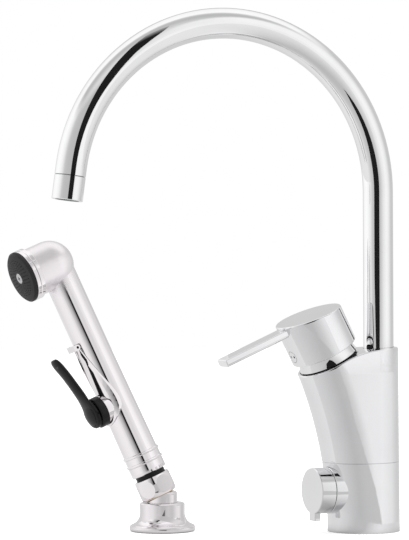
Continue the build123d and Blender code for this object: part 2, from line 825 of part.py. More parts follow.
insert_length = sleeve_length - sleeve_lip
with BuildPart() as aerator_insert:
    with BuildSketch(outlet_frame.offset(sleeve_spigot / 2)):
        Circle(sleeve_bore - seat_gap)
    extrude(amount=insert_length - sleeve_spigot / 2)
    with BuildSketch(outlet_frame.offset(insert_length)):
        Circle(insert_bore)
    extrude(amount=sleeve_lip / 2)
    with BuildSketch(outlet_frame.offset(sleeve_spigot / 2)):
        Circle(insert_inner)
    extrude(amount=sleeve_spigot, mode=Mode.SUBTRACT)
    with BuildSketch(outlet_frame.offset(sleeve_spigot)):
        with PolarLocations(insert_bore * outer_hole_share, aerator_holes):
            Circle(aerator_hole_radius)
        with PolarLocations(insert_bore * inner_hole_share, aerator_holes // 2):
            Circle(aerator_hole_radius)
    extrude(amount=sleeve_length, mode=Mode.SUBTRACT)
finish(aerator_insert, "aerator_insert")

with BuildPart() as aerator_seal:
    with BuildSketch(outlet_frame.offset(sleeve_spigot / 2)):
        Circle(sleeve_bore - seat_gap)
        Circle(insert_inner, mode=Mode.SUBTRACT)
    extrude(amount=-ring_wall)
finish(aerator_seal, "aerator_seal")

# ================================================================ dishwasher valve
valve_seal_end = valve_bore_end + valve_seal_thickness
fixed_end = valve_seal_end + valve_disc_thickness
turning_end = fixed_end + valve_disc_thickness
flange_end = turning_end + valve_flange_thickness
hex_end = valve_boss_front + headwork_hex_length
knob_back = valve_boss_front + knob_gap
knob_front = knob_back + knob_length
spindle_end = knob_front - knob_floor

with BuildPart() as valve_seal:
    with BuildSketch(valve_frame.offset(valve_bore_end)):
        Circle(valve_disc_radius)
        Circle(valve_disc_radius / 2, mode=Mode.SUBTRACT)
    extrude(amount=valve_seal_thickness)
finish(valve_seal, "valve_seal")

with BuildPart() as valve_fixed_disc:
    with BuildSketch(valve_frame.offset(valve_seal_end)):
        Circle(valve_disc_radius)
        Rectangle(valve_disc_radius, valve_disc_radius / 2, mode=Mode.SUBTRACT)
    extrude(amount=valve_disc_thickness)
finish(valve_fixed_disc, "valve_fixed_disc")

with BuildPart() as valve_turning_disc:
    with BuildSketch(valve_frame.offset(fixed_end)):
        Circle(valve_disc_radius)
        Rectangle(valve_disc_radius / 2, valve_disc_radius, mode=Mode.SUBTRACT)
    extrude(amount=valve_disc_thickness)
finish(valve_turning_disc, "valve_turning_disc")

with BuildPart() as valve_headwork:
    with BuildSketch(valve_frame.offset(valve_seal_end)):
        Circle(valve_bore - seat_gap)
    extrude(amount=valve_boss_front - valve_seal_end)
    with BuildSketch(valve_frame.offset(valve_boss_front)):
        RegularPolygon(headwork_hex, 6, major_radius=False)
    extrude(amount=headwork_hex_length)
    with BuildSketch(valve_frame.offset(valve_seal_end)):
        Circle(valve_disc_radius + loose_gap)
    extrude(amount=flange_end + loose_gap - valve_seal_end, mode=Mode.SUBTRACT)
    with BuildSketch(valve_frame.offset(flange_end)):
        Circle(valve_spindle_radius + running_gap)
    extrude(amount=hex_end, mode=Mode.SUBTRACT)
finish(valve_headwork, "valve_headwork")

with BuildPart() as valve_spindle:
    with BuildSketch(valve_frame.offset(turning_end)):
        Circle(valve_disc_radius - loose_gap)
    extrude(amount=valve_flange_thickness)
    with BuildSketch(valve_frame.offset(flange_end)):
        Circle(valve_spindle_radius)
    extrude(amount=spindle_end - flange_end)
finish(valve_spindle, "valve_spindle")

with BuildPart() as valve_knob:
    with BuildSketch(valve_frame.offset(knob_back)):
        Circle(knob_radius)
    extrude(amount=knob_length)
    with BuildSketch(valve_frame.offset(knob_front)):
        with Locations((0, -(knob_radius + knob_tab_drop) / 2)):
            Rectangle(knob_tab_width, knob_radius + knob_tab_drop)
    extrude(amount=-knob_tab_thickness)
    front_face = valve_knob.faces().sort_by(Axis.Y)[0]
    fillet(front_face.edges(), knob_edge)
    with BuildSketch(valve_frame.offset(knob_back)):
        Circle(knob_radius - knob_wall)
    extrude(amount=knob_length - knob_floor, mode=Mode.SUBTRACT)
    with BuildSketch(valve_frame.offset(hex_end + loose_gap)):
        Circle(knob_hub_radius)
    extrude(amount=knob_front - hex_end - knob_floor / 2)
    with BuildSketch(valve_frame.offset(hex_end)):
        Circle(valve_spindle_radius + seat_gap)
    extrude(amount=spindle_end - hex_end, mode=Mode.SUBTRACT)
finish(valve_knob, "valve_knob")

# ================================================================ deck holder
with BuildPart() as holder_flange:
    with BuildSketch(section_plane(holder_frame)):
        with BuildLine():
            Line((0, 0), (flange_foot_radius, 0))
            ThreePointArc((flange_foot_radius, 0), (flange_radius, flange_edge_height), flare_outer)
            ThreePointArc(flare_outer, flare_middle, (collar_radius, collar_foot))
            Polyline((collar_radius, collar_foot), (collar_radius, collar_height), (0, collar_height), (0, 0))
        make_face()
    revolve(axis=spin_axis(holder_frame))
    fillet(holder_flange.faces().sort_by(Axis.Z)[-1].edges(), collar_fillet)
    with BuildSketch(holder_frame):
        Circle(holder_gasket_outer)
        Circle(holder_gasket_inner, mode=Mode.SUBTRACT)
    extrude(amount=holder_gasket_thickness, mode=Mode.SUBTRACT)
    with BuildSketch(holder_frame):
        Circle(holder_socket_radius)
    extrude(amount=holder_socket_depth, mode=Mode.SUBTRACT)
    with BuildSketch(holder_frame):
        Circle(cup_radius + running_gap)
    extrude(amount=collar_height, mode=Mode.SUBTRACT)
finish(holder_flange, "holder_flange")

with BuildPart() as holder_gasket:
    with BuildSketch(holder_frame):
        Circle(holder_gasket_outer)
        Circle(holder_gasket_inner, mode=Mode.SUBTRACT)
    extrude(amount=holder_gasket_thickness)
finish(holder_gasket, "holder_gasket")

ferrule_bottom = -nut_half_length - ferrule_flange_thickness
cup_cut_frame = handset_frame.offset(ferrule_bottom - seat_gap)
with BuildPart() as holder_cup:
    with BuildSketch(holder_frame.offset(cup_bottom)):
        Circle(cup_radius)
    extrude(amount=cup_top - cup_bottom)
    fillet(holder_cup.faces().sort_by(Axis.Z)[-1].edges(), cup_fillet)
    with BuildSketch(cup_cut_frame):
        Circle(2 * flange_radius)
    extrude(amount=2 * cup_top, mode=Mode.SUBTRACT)
    with BuildSketch(handset_frame.offset(ferrule_bottom - ferrule_length - loose_gap)):
        Circle(ferrule_radius + loose_gap)
    extrude(amount=ferrule_length + 2 * cup_fillet, mode=Mode.SUBTRACT)
    with BuildSketch(holder_frame.offset(cup_bottom)):
        Circle(cup_bore)
    extrude(amount=cup_bore_top - cup_bottom, mode=Mode.SUBTRACT)
    with BuildSketch(holder_frame.offset(cup_bottom)):
        Circle(cup_radius)
        Circle(cup_radius - loose_gap, mode=Mode.SUBTRACT)
    extrude(amount=loose_gap, mode=Mode.SUBTRACT)
finish(holder_cup, "holder_cup")

# ================================================================ hose end
with BuildPart() as hose_nut:
    with BuildSketch(section_plane(handset_frame)):
        with BuildLine():
            CenterArc((0, 0), nut_ball, -90, 180)
            Line((0, nut_ball), (0, -nut_ball))
        make_face()
    revolve(axis=spin_axis(handset_frame))
    with BuildSketch(handset_frame.offset(-nut_half_length)):
        RegularPolygon(nut_flats, 6, major_radius=False, rotation=nut_turn)
    extrude(amount=2 * nut_half_length, mode=Mode.INTERSECT)
    with BuildSketch(handset_frame.offset(-nut_half_length)):
        Circle(ferrule_radius + seat_gap)
    extrude(amount=2 * nut_half_length, mode=Mode.SUBTRACT)
finish(hose_nut, "hose_nut")

with BuildPart() as hose_ferrule:
    with BuildSketch(handset_frame.offset(ferrule_bottom)):
        Circle(ferrule_flange)
    extrude(amount=ferrule_flange_thickness)
    with BuildSketch(handset_frame.offset(ferrule_bottom - ferrule_length)):
        Circle(ferrule_radius)
    extrude(amount=ferrule_length - ferrule_bottom + nut_half_length)
    tail_edges = hose_ferrule.faces().sort_by(spin_axis(handset_frame))[0].edges()
    chamfer(tail_edges, ferrule_chamfer)
    with BuildSketch(handset_frame.offset(ferrule_bottom - ferrule_length)):
        Circle(ferrule_bore)
    extrude(amount=2 * ferrule_length + 2 * nut_half_length, mode=Mode.SUBTRACT)
finish(hose_ferrule, "hose_ferrule")

with BuildPart() as hose_washer:
    with BuildSketch(handset_frame.offset(nut_half_length)):
        Circle(washer_radius)
        Circle(ferrule_bore, mode=Mode.SUBTRACT)
    extrude(amount=collar_start - nut_half_length)
finish(hose_washer, "hose_washer")

# ================================================================ hand spray body
with BuildPart() as handset_body:
    with BuildSketch(section_plane(handset_frame)):
        with BuildLine():
            Polyline(
                (0, collar_start),
                (collar_band_radius - ring_bevel, collar_start),
                (collar_band_radius, collar_start + ring_bevel),
                (collar_band_radius, bead_heights[0] - bead_half_width),
            )
            ThreePointArc(
                (collar_band_radius, bead_heights[0] - bead_half_width),
                (bead_radius, bead_heights[0]),
                (collar_band_radius, bead_heights[0] + bead_half_width),
            )
            Line(
                (collar_band_radius, bead_heights[0] + bead_half_width),
                (collar_band_radius, bead_heights[1] - bead_half_width),
            )
            ThreePointArc(
                (collar_band_radius, bead_heights[1] - bead_half_width),
                (bead_radius, bead_heights[1]),
                (handle_foot_radius, bead_heights[1] + bead_half_width),
            )
            Polyline(
                (handle_foot_radius, bead_heights[1] + bead_half_width),
                (handle_waist_radius, handle_waist),
                (handle_waist_radius, head_height),
                (0, head_height),
                (0, collar_start),
            )
        make_face()
    revolve(axis=spin_axis(handset_frame))
    with BuildSketch(section_plane(head_frame)):
        with BuildLine():
            Line((0, head_centre - head_radius), (0, head_front))
            Line((0, head_front), (head_radius, head_front))
            Line((head_radius, head_front), (head_radius, head_centre))
            ThreePointArc(
                (head_radius, head_centre),
                (head_radius * cos(pi / 4), head_centre - head_radius * sin(pi / 4)),
                (0, head_centre - head_radius),
            )
        make_face()
    revolve(axis=spin_axis(head_frame))
    with BuildSketch(boss_frame):
        Circle(boss_radius)
    extrude(amount=boss_front)
    with BuildSketch(handset_frame.offset(collar_start)):
        Circle(handle_bore)
    extrude(amount=handle_bore_end - collar_start, mode=Mode.SUBTRACT)
    with BuildSketch(handset_frame.offset(collar_start)):
        Circle(water_bore)
    extrude(amount=head_height - collar_start, mode=Mode.SUBTRACT)
    with BuildSketch(boss_frame.offset(boss_bore_start)):
        Circle(boss_bore)
    extrude(amount=boss_front - boss_bore_start, mode=Mode.SUBTRACT)
    with BuildSketch(head_frame.offset(head_centre)):
        Circle(head_bore)
    extrude(amount=head_front - head_centre, mode=Mode.SUBTRACT)
    with BuildSketch(head_frame.offset(head_centre - face_boss_radius)):
        Circle(face_boss_radius)
    extrude(amount=head_front - head_centre + face_boss_radius)
    with BuildSketch(head_frame.offset(head_centre)):
        Circle(face_screw_shank + seat_gap)
    extrude(amount=head_front - head_centre, mode=Mode.SUBTRACT)
finish(handset_body, "handset_body")

# ================================================================ spray head
rear_ring_start = head_front
front_ring_start = rear_ring_start + rear_ring_length
face_start = front_ring_start + front_ring_length
face_edge_end = face_start + face_edge_length
face_rim_end = face_start + face_rim_length
face_front = face_start + face_dome

with BuildPart() as head_ring:
    with BuildSketch(head_frame.offset(rear_ring_start)):
        Circle(ring_radius)
    extrude(amount=rear_ring_length)
    chamfer(head_ring.edges().filter_by(GeomType.CIRCLE), ring_bevel)
    with BuildSketch(head_frame.offset(rear_ring_start)):
        Circle(head_bore)
    extrude(amount=rear_ring_length, mode=Mode.SUBTRACT)
finish(head_ring, "head_ring")

with BuildPart() as face_ring:
    with BuildSketch(head_frame.offset(front_ring_start)):
        Circle(ring_radius)
    extrude(amount=front_ring_length)
    chamfer(face_ring.edges().filter_by(GeomType.CIRCLE), ring_bevel)
    with BuildSketch(head_frame.offset(front_ring_start)):
        Circle(head_bore + face_seal_section)
    extrude(amount=front_ring_length, mode=Mode.SUBTRACT)
finish(face_ring, "face_ring")

with BuildPart() as face_seal:
    with BuildSketch(head_frame.offset(front_ring_start)):
        Circle(head_bore + face_seal_section)
        Circle(head_bore, mode=Mode.SUBTRACT)
    extrude(amount=front_ring_length)
finish(face_seal, "face_seal")

with BuildPart() as face_plate:
    with BuildSketch(section_plane(head_frame)):
        with BuildLine():
            Polyline(
                (0, face_start),
                (face_radius, face_start),
                (face_radius, face_edge_end),
                (face_rim_radius, face_rim_end),
            )
            dome_sag = face_front - face_rim_end
            plate_radius = (face_rim_radius**2 + dome_sag**2) / (2 * dome_sag)
            plate_middle = face_front - plate_radius + sqrt(plate_radius**2 - face_rim_radius**2 / 4)
            ThreePointArc(
                (face_rim_radius, face_rim_end), (face_rim_radius / 2, plate_middle), (0, face_front)
            )
            Line((0, face_front), (0, face_start))
        make_face()
    revolve(axis=spin_axis(head_frame))
    with BuildSketch(head_frame.offset(face_start - rear_ring_length)):
        Circle(head_bore - loose_gap)
        Circle(head_bore - loose_gap - face_seal_section, mode=Mode.SUBTRACT)
    extrude(amount=rear_ring_length)
    for ring_distance, nozzle_count in nozzle_rings:
        with BuildSketch(head_frame.offset(face_front)):
            with PolarLocations(ring_distance, nozzle_count):
                Circle(nozzle_radius)
        extrude(amount=-nozzle_depth - dome_sag, mode=Mode.SUBTRACT)
    with BuildSketch(head_frame.offset(face_start)):
        Circle(face_screw_shank + loose_gap)
    extrude(amount=face_dome, mode=Mode.SUBTRACT)
    with BuildSketch(head_frame.offset(face_front - face_edge_length)):
        Circle(face_screw_head + seat_gap)
    extrude(amount=face_dome, mode=Mode.SUBTRACT)
finish(face_plate, "face_plate")

with BuildPart() as face_screw:
    with BuildSketch(head_frame.offset(face_front - face_edge_length)):
        Circle(face_screw_head)
    extrude(amount=face_edge_length + seat_gap)
    screw_top = face_screw.faces().sort_by(spin_axis(head_frame))[-1]
    fillet(screw_top.edges(), face_edge_length / 3)
    with BuildSketch(head_frame.offset(face_front - face_edge_length)):
        Circle(face_screw_shank)
    extrude(amount=-face_screw_length)
    with BuildSketch(head_frame.offset(face_front + seat_gap)):
        Rectangle(cross_span, cross_width)
        Rectangle(cross_width, cross_span)
    extrude(amount=-face_edge_length, mode=Mode.SUBTRACT)
finish(face_screw, "face_screw")

# ================================================================ spray valve
with BuildPart() as boss_collar:
    with BuildSketch(boss_frame.offset(boss_front)):
        Circle(collar_disc_radius)
    extrude(amount=collar_disc_front - boss_front)
    collar_rim = boss_collar.faces().sort_by(spin_axis(boss_frame))[-1].edges()
    fillet(collar_rim, collar_disc_fillet)
    with BuildSketch(boss_frame.offset(collar_disc_front - 1)):
        with Locations((-(lug_inner + lug_outer) / 2, 0), ((lug_inner + lug_outer) / 2, 0)):
            Rectangle(lug_outer - lug_inner, 2 * lug_half_height)
    extrude(amount=lug_front - collar_disc_front + 1)
    with BuildSketch(boss_frame.offset(boss_front)):
        Circle(collar_disc_bore)
    extrude(amount=collar_disc_front - boss_front, mode=Mode.SUBTRACT)
    pivot_frame = Plane(
        origin=handset_point(0, lever_pivot, boss_height),
        x_dir=handset_frame.z_dir,
        z_dir=handset_frame.x_dir,
    )
    with BuildSketch(pivot_frame):
        Circle(lever_pin_radius + running_gap)
    extrude(amount=lug_outer + 1, both=True, mode=Mode.SUBTRACT)
finish(boss_collar, "boss_collar")

with BuildPart() as valve_plunger:
    with BuildSketch(boss_frame.offset(plunger_head_front - plunger_head_thickness)):
        Circle(plunger_head_radius)
    extrude(amount=plunger_head_thickness)
    with BuildSketch(boss_frame.offset(plunger_tail)):
        Circle(plunger_radius)
    extrude(amount=plunger_head_front - plunger_head_thickness - plunger_tail)
finish(valve_plunger, "valve_plunger")

with BuildPart() as plunger_seal:
    with BuildSketch(boss_frame.offset(boss_bore_start + plunger_seal_thickness + loose_gap)):
        Circle(boss_bore - seat_gap)
        Circle(plunger_radius + running_gap, mode=Mode.SUBTRACT)
    extrude(amount=plunger_seal_thickness)
finish(plunger_seal, "plunger_seal")

spring_start = boss_bore_start + 2 * plunger_seal_thickness + loose_gap + spring_wire
spring_end = plunger_head_front - plunger_head_thickness - plunger_travel - loose_gap - spring_wire
spring_pitch = (spring_end - spring_start) / spring_turns
with BuildPart() as plunger_spring:
    with BuildLine() as spring_line:
        Helix(
            spring_pitch,
            spring_end - spring_start,
            spring_radius,
            center=boss_frame.offset(spring_start).origin,
            direction=spray_direction,
        )
    with BuildSketch(Plane(origin=spring_line.line @ 0, z_dir=spring_line.line % 0)):
        Circle(spring_wire)
    sweep(is_frenet=True)
finish(plunger_spring, "plunger_spring")

# ================================================================ spray lever
with BuildPart() as spray_lever:
    with BuildSketch(section_plane(boss_frame)):
        with BuildLine():
            dome_centre = bulb_front - bulb_dome_radius
            dome_edge = dome_centre + sqrt(bulb_dome_radius**2 - bulb_radius**2)
            dome_middle = bulb_radius / 2
            dome_middle_front = dome_centre + sqrt(bulb_dome_radius**2 - dome_middle**2)
            Polyline((0, bulb_front), (0, lever_back), (bulb_radius, lever_back), (bulb_radius, dome_edge))
            ThreePointArc((bulb_radius, dome_edge), (dome_middle, dome_middle_front), (0, bulb_front))
        make_face()
    revolve(axis=spin_axis(boss_frame))
    bulb_edges = spray_lever.edges().filter_by(lambda edge: edge.is_closed)
    fillet(bulb_edges.sort_by(spin_axis(boss_frame))[-1], bulb_edge_fillet)
    spine_points = [handset_point(0, forward, boss_height + height) for height, forward in lever_spine]
    for index, point in enumerate(spine_points):
        before = spine_points[max(index - 1, 0)]
        after = spine_points[min(index + 1, len(spine_points) - 1)]
        station = Plane(origin=point, x_dir=handset_frame.x_dir, z_dir=after - before)
        with BuildSketch(station):
            Ellipse(lever_half_widths[index], lever_half_thicknesses[index])
    loft()
    with BuildSketch(boss_frame.offset(lever_back)):
        Circle(lever_pocket_radius)
    extrude(amount=lever_pocket_front - lever_back, mode=Mode.SUBTRACT)
    with BuildSketch(boss_frame.offset(plunger_head_front)):
        with Locations((0, cam_height)):
            Rectangle(2 * cam_half_width, 2 * cam_half_height)
    extrude(amount=lever_pocket_front - plunger_head_front + loose_gap)
    with BuildSketch(boss_frame.offset(lever_notch_floor)):
        with Locations((0, lever_notch_height)):
            Rectangle(2 * bulb_radius, lever_notch_width)
    extrude(amount=lever_notch_floor, mode=Mode.SUBTRACT)
    with BuildSketch(pivot_frame):
        Circle(lever_pin_radius + seat_gap)
    extrude(amount=bulb_radius, both=True, mode=Mode.SUBTRACT)
finish(spray_lever, "spray_lever")

with BuildPart() as lever_pin:
    with BuildSketch(pivot_frame):
        Circle(lever_pin_radius)
    extrude(amount=lever_pin_half_length, both=True)
finish(lever_pin, "lever_pin")

# ================================================================ hold-open clip
catch_frame = Plane(
    origin=handset_point(0, catch_pin_front, catch_height),
    x_dir=handset_frame.y_dir * -1,
    z_dir=handset_frame.x_dir,
)
bail_span = catch_height - boss_height
shell_start = boss_height - 2 * boss_radius
bail_inner_radius = boss_radius + seat_gap
with BuildPart() as lock_bail:
    with BuildSketch(boss_frame):
        for inset, fill in ((0, Mode.ADD), (bail_width, Mode.SUBTRACT)):
            with BuildLine():
                widest = bail_inner_radius + bail_width - inset
                neck = bail_neck_half_width + bail_width / 2 - inset
                right_side = [(neck, bail_span)]
                right_side += [(width - inset, rise) for width, rise in bail_bow]
                right_side += [(widest, 0)]
                left_side = [(-width, rise) for width, rise in right_side]
                Spline(*right_side)
                ThreePointArc((widest, 0), (0, -widest), (-widest, 0))
                Spline(*left_side)
                Line((-neck, bail_span), (neck, bail_span))
            make_face(mode=fill)
    extrude(amount=2 * boss_front)
    with BuildSketch(section_plane(handset_frame)):
        with BuildLine():
            shell_foot = (handle_radius(shell_start) + bail_gap, shell_start)
            shell_waist = (handle_radius(handle_waist) + bail_gap, handle_waist)
            shell_top = (handle_radius(handle_waist) + bail_gap, catch_height)
            Polyline(
                shell_foot,
                shell_waist,
                shell_top,
                (shell_top[0] + bail_thickness, shell_top[1]),
                (shell_waist[0] + bail_thickness, shell_waist[1]),
                (shell_foot[0] + bail_thickness, shell_foot[1]),
                shell_foot,
            )
        make_face()
    revolve(axis=spin_axis(handset_frame), mode=Mode.INTERSECT)
    with BuildSketch(boss_frame):
        with Locations((0, bail_span)):
            Rectangle(2 * bail_neck_half_width, 4 * bail_width)
    extrude(amount=2 * boss_front, mode=Mode.SUBTRACT)
    for side in (-1, 1):
        with BuildSketch(catch_frame.offset(side * bail_eye_centre - bail_eye_thickness / 2)):
            Circle(bail_eye_radius)
        extrude(amount=bail_eye_thickness)
    with BuildSketch(catch_frame):
        Circle(catch_pin_radius + seat_gap)
    extrude(amount=2 * bail_eye_centre, both=True, mode=Mode.SUBTRACT)
finish(lock_bail, "lock_bail")

catch_reach = catch_front - catch_pin_front
with BuildPart() as lock_catch:
    with BuildSketch(catch_frame.offset(-catch_ear_centre - catch_ear_thickness / 2)):
        Circle(catch_ear_back_radius)
        with Locations((catch_reach / 2, 0)):
            Rectangle(catch_reach, 2 * catch_half_height)
    extrude(amount=2 * catch_ear_centre + catch_ear_thickness)
    with BuildSketch(catch_frame.offset(-catch_ear_centre + catch_ear_thickness / 2)):
        with Locations((catch_reach - catch_ear_thickness - 2 * catch_front, 0)):
            Rectangle(4 * catch_front, 4 * catch_half_height)
    extrude(amount=2 * catch_ear_centre - catch_ear_thickness, mode=Mode.SUBTRACT)
    with BuildSketch(catch_frame):
        Circle(catch_pin_radius + running_gap)
    extrude(amount=2 * catch_ear_centre, both=True, mode=Mode.SUBTRACT)
finish(lock_catch, "lock_catch")

with BuildPart() as catch_pin:
    with BuildSketch(catch_frame):
        Circle(catch_pin_radius)
    extrude(amount=catch_ear_centre + catch_ear_thickness / 2, both=True)
finish(catch_pin, "catch_pin")
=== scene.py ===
"""Look of the side spray kitchen faucet: materials, small surface detail, studio and camera.

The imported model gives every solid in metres, in the frame of the CAD: the origin is the centre of
the mixer's foot, +Z is up and the user stands on the -Y side.
"""

import logging
from dataclasses import dataclass, field
from enum import Enum
from math import cos, radians, sin
from typing import Dict, List, Optional, Sequence, Tuple, Union

import bpy
from mathutils import Matrix, Vector


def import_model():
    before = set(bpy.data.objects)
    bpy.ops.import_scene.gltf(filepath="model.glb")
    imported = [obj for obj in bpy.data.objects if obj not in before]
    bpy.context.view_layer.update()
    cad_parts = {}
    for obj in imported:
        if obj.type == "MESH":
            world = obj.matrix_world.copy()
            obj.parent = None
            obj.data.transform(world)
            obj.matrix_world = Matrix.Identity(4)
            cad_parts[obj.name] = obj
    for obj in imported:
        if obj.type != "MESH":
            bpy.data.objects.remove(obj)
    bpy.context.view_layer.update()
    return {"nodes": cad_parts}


log = logging.getLogger("faucet")

Colour = Tuple[float, float, float]
Point = Tuple[float, float, float]

UPRIGHT: Point = (0.0, 0.0, 1.0)
EMPTY_CELLS = 0.75  # share of the cells of a speckled texture that hold no spot


# ------------------------------------------------------------------------------------------------
# Shader maths
# ------------------------------------------------------------------------------------------------
class Value:
    """A shader socket that can be used in Python expressions."""

    def __init__(self, tree: "Tree", socket: bpy.types.NodeSocket) -> None:
        """Wrap a socket.

        Args:
            tree: The tree that the socket belongs to.
            socket: The output socket.
        """
        self.tree = tree
        self.socket = socket

    def _math(self, operation: str, *others: "Number", clamp: bool = False) -> "Value":
        """Add a maths node that takes this value first."""
        return self.tree.math(operation, self, *others, clamp=clamp)

    def __add__(self, other: "Number") -> "Value":
        """Add."""
        return self._math("ADD", other)

    __radd__ = __add__

    def __mul__(self, other: "Number") -> "Value":
        """Multiply."""
        return self._math("MULTIPLY", other)

    __rmul__ = __mul__

    def __sub__(self, other: "Number") -> "Value":
        """Subtract from this value."""
        return self._math("SUBTRACT", other)

    def __rsub__(self, other: "Number") -> "Value":
        """Subtract this value."""
        return self.tree.math("SUBTRACT", other, self)

    def __truediv__(self, other: "Number") -> "Value":
        """Divide this value."""
        return self._math("DIVIDE", other)

    def clamp(self) -> "Value":
        """Limit the value to the range from 0 to 1.

        Returns:
            The limited value.
        """
        return self._math("ADD", 0.0, clamp=True)

    def below(self, edge: float, softness: float) -> "Value":
        """Soft step that is 1 below an edge and 0 above it.

        Args:
            edge: Where the step lies.
            softness: Width over which it falls.

        Returns:
            The mask.
        """
        return ((edge - self) / softness + 0.5).clamp()

    def above(self, edge: float, softness: float) -> "Value":
        """Soft step that is 0 below an edge and 1 above it.

        Args:
            edge: Where the step lies.
            softness: Width over which it rises.

        Returns:
            The mask.
        """
        return ((self - edge) / softness + 0.5).clamp()


Number = Union[float, Value]


class Tree:
    """A node tree that is built by expressions."""

    def __init__(self, nodes: bpy.types.NodeTree) -> None:
        """Empty the tree and wrap it.

        Args:
            nodes: The tree of a material or of the world.
        """
        self.nodes = nodes
        self.nodes.nodes.clear()

    def add(
        self, kind: str, inputs: Optional[Dict[Union[int, str], object]] = None, **settings: object
    ) -> bpy.types.Node:
        """Add one node, set its properties and connect or set its inputs.

        Args:
            kind: Name of the node type.
            inputs: Values, wrapped sockets or plain sockets by input name or index.
            settings: Properties of the node.

        Returns:
            The new node.
        """
        node = self.nodes.nodes.new(kind)
        for key, value in settings.items():
            setattr(node, key, value)
        for key, value in (inputs or {}).items():
            self.feed(node.inputs[key], value)
        return node

    def feed(self, socket: bpy.types.NodeSocket, value: object) -> None:
        """Connect a socket or set its value.

        Args:
            socket: The input socket.
            value: A wrapped socket, a plain socket or a constant.
        """
        if isinstance(value, Value):
            self.nodes.links.new(value.socket, socket)
        elif isinstance(value, bpy.types.NodeSocket):
            self.nodes.links.new(value, socket)
        else:
            socket.default_value = value

    def math(self, operation: str, *terms: Number, clamp: bool = False) -> Value:
        """Add a maths node.

        Args:
            operation: The node's operation.
            terms: Its inputs in order.
            clamp: Whether the result is limited to 0 to 1.

        Returns:
            The result.
        """
        node = self.add("ShaderNodeMath", dict(enumerate(terms)), operation=operation, use_clamp=clamp)
        return Value(self, node.outputs[0])

    def position(self) -> Value:
        """Object coordinates in metres.

        Returns:
            The coordinate vector.
        """
        return Value(self, self.add("ShaderNodeTexCoord").outputs["Object"])

    def stretched(self, point: Value, scale: Point, turn: Point = (0.0, 0.0, 0.0)) -> Value:
        """Scale and turn a coordinate vector.

        Args:
            point: The coordinates.
            scale: Factor along each axis.
            turn: Rotation about each axis, in radians.

        Returns:
            The new coordinates.
        """
        node = self.add("ShaderNodeMapping", {"Vector": point, "Scale": scale, "Rotation": turn})
        return Value(self, node.outputs[0])

    def noise(self, point: Value, scale: float, detail: float = 3.0, roughness: float = 0.5) -> Value:
        """Cloudy noise around 0.5.

        Args:
            point: The coordinates.
            scale: Features per metre.
            detail: Number of octaves.
            roughness: Share of the finer octaves.

        Returns:
            The noise value.
        """
        inputs = {"Vector": point, "Scale": scale, "Detail": detail, "Roughness": roughness}
        return Value(self, self.add("ShaderNodeTexNoise", inputs).outputs["Fac"])

    def specks(self, point: Value, scale: float, size: float) -> Value:
        """Small scattered spots.

        Args:
            point: The coordinates.
            scale: Cells per metre.
            size: Radius of a spot as a share of its cell.

        Returns:
            A mask that is 1 in the spots.
        """
        cells = self.add("ShaderNodeTexVoronoi", {"Vector": point, "Scale": scale})
        distance = Value(self, cells.outputs["Distance"])
        lot = self.add("ShaderNodeSeparateColor", {"Color": cells.outputs["Color"]})
        chosen = Value(self, lot.outputs[0]).above(EMPTY_CELLS, 0.02)
        return distance.below(size, size / 2) * chosen

    def near(self, point: Value, centre: Point, radius: float, softness: float) -> Value:
        """Mask of a ball about a point.

        Args:
            point: The coordinates.
            centre: Middle of the ball.
            radius: Its radius.
            softness: Width of its edge.

        Returns:
            A mask that is 1 in the ball.
        """
        node = self.add("ShaderNodeVectorMath", {0: point, 1: centre}, operation="DISTANCE")
        return Value(self, node.outputs["Value"]).below(radius, softness)

    def along(self, point: Value, origin: Point, axis: Point) -> Value:
        """Distance of a point from a plane.

        Args:
            point: Place of the surface.
            origin: A point on the plane.
            axis: Unit normal of the plane.

        Returns:
            The signed distance in metres.
        """
        offset = self.add("ShaderNodeVectorMath", {0: point, 1: origin}, operation="SUBTRACT")
        product = self.add("ShaderNodeVectorMath", {0: offset.outputs[0], 1: axis}, operation="DOT_PRODUCT")
        return Value(self, product.outputs["Value"])

    def crevice(self, reach: float) -> Value:
        """How deep a place lies in a groove or corner.

        Args:
            reach: Size of the grooves in metres.

        Returns:
            0 in the open, up to 1 deep in a groove.
        """
        shade = self.add("ShaderNodeAmbientOcclusion", {"Distance": reach}, samples=12)
        return 1.0 - Value(self, shade.outputs["AO"])

    def blend(self, mask: Number, low: object, high: object) -> Value:
        """Mix two colours.

        Args:
            mask: Share of the second colour.
            low: Colour where the mask is 0.
            high: Colour where the mask is 1.

        Returns:
            The mixed colour.
        """
        node = self.add("ShaderNodeMix", data_type="RGBA")
        self.feed(node.inputs[0], mask)
        self.feed(node.inputs[6], low if isinstance(low, Value) else (*low, 1.0))
        self.feed(node.inputs[7], high if isinstance(high, Value) else (*high, 1.0))
        return Value(self, node.outputs[2])

    def ramp(self, position: Number, stops: Sequence[Tuple[float, float]]) -> Value:
        """Grey levels along a value.

        Args:
            position: The value, from 0 to 1.
            stops: Positions and grey levels in rising order.

        Returns:
            The grey level.
        """
        node = self.add("ShaderNodeValToRGB", {0: position})
        elements = node.color_ramp.elements
        while len(elements) < len(stops):
            elements.new(0.5)
        for element, (place, level) in zip(elements, stops):
            element.position = place
            element.color = (level, level, level, 1.0)
        return Value(self, node.outputs[0])

    def bump(self, height: Value, strength: float, distance: float) -> Value:
        """Surface relief.

        Args:
            height: Height from 0 to 1.
            strength: Share of the effect.
            distance: Depth of the relief in metres.

        Returns:
            The normal.
        """
        node = self.add("ShaderNodeBump", {"Height": height, "Strength": strength, "Distance": distance})
        return Value(self, node.outputs[0])


# ------------------------------------------------------------------------------------------------
# Finishes
# ------------------------------------------------------------------------------------------------
class Make(Enum):
    """How a surface was made, which decides its fine texture."""

    POLISHED = "polished"
    MACHINED = "machined"
    MOULDED = "moulded"
    GROUND = "ground"


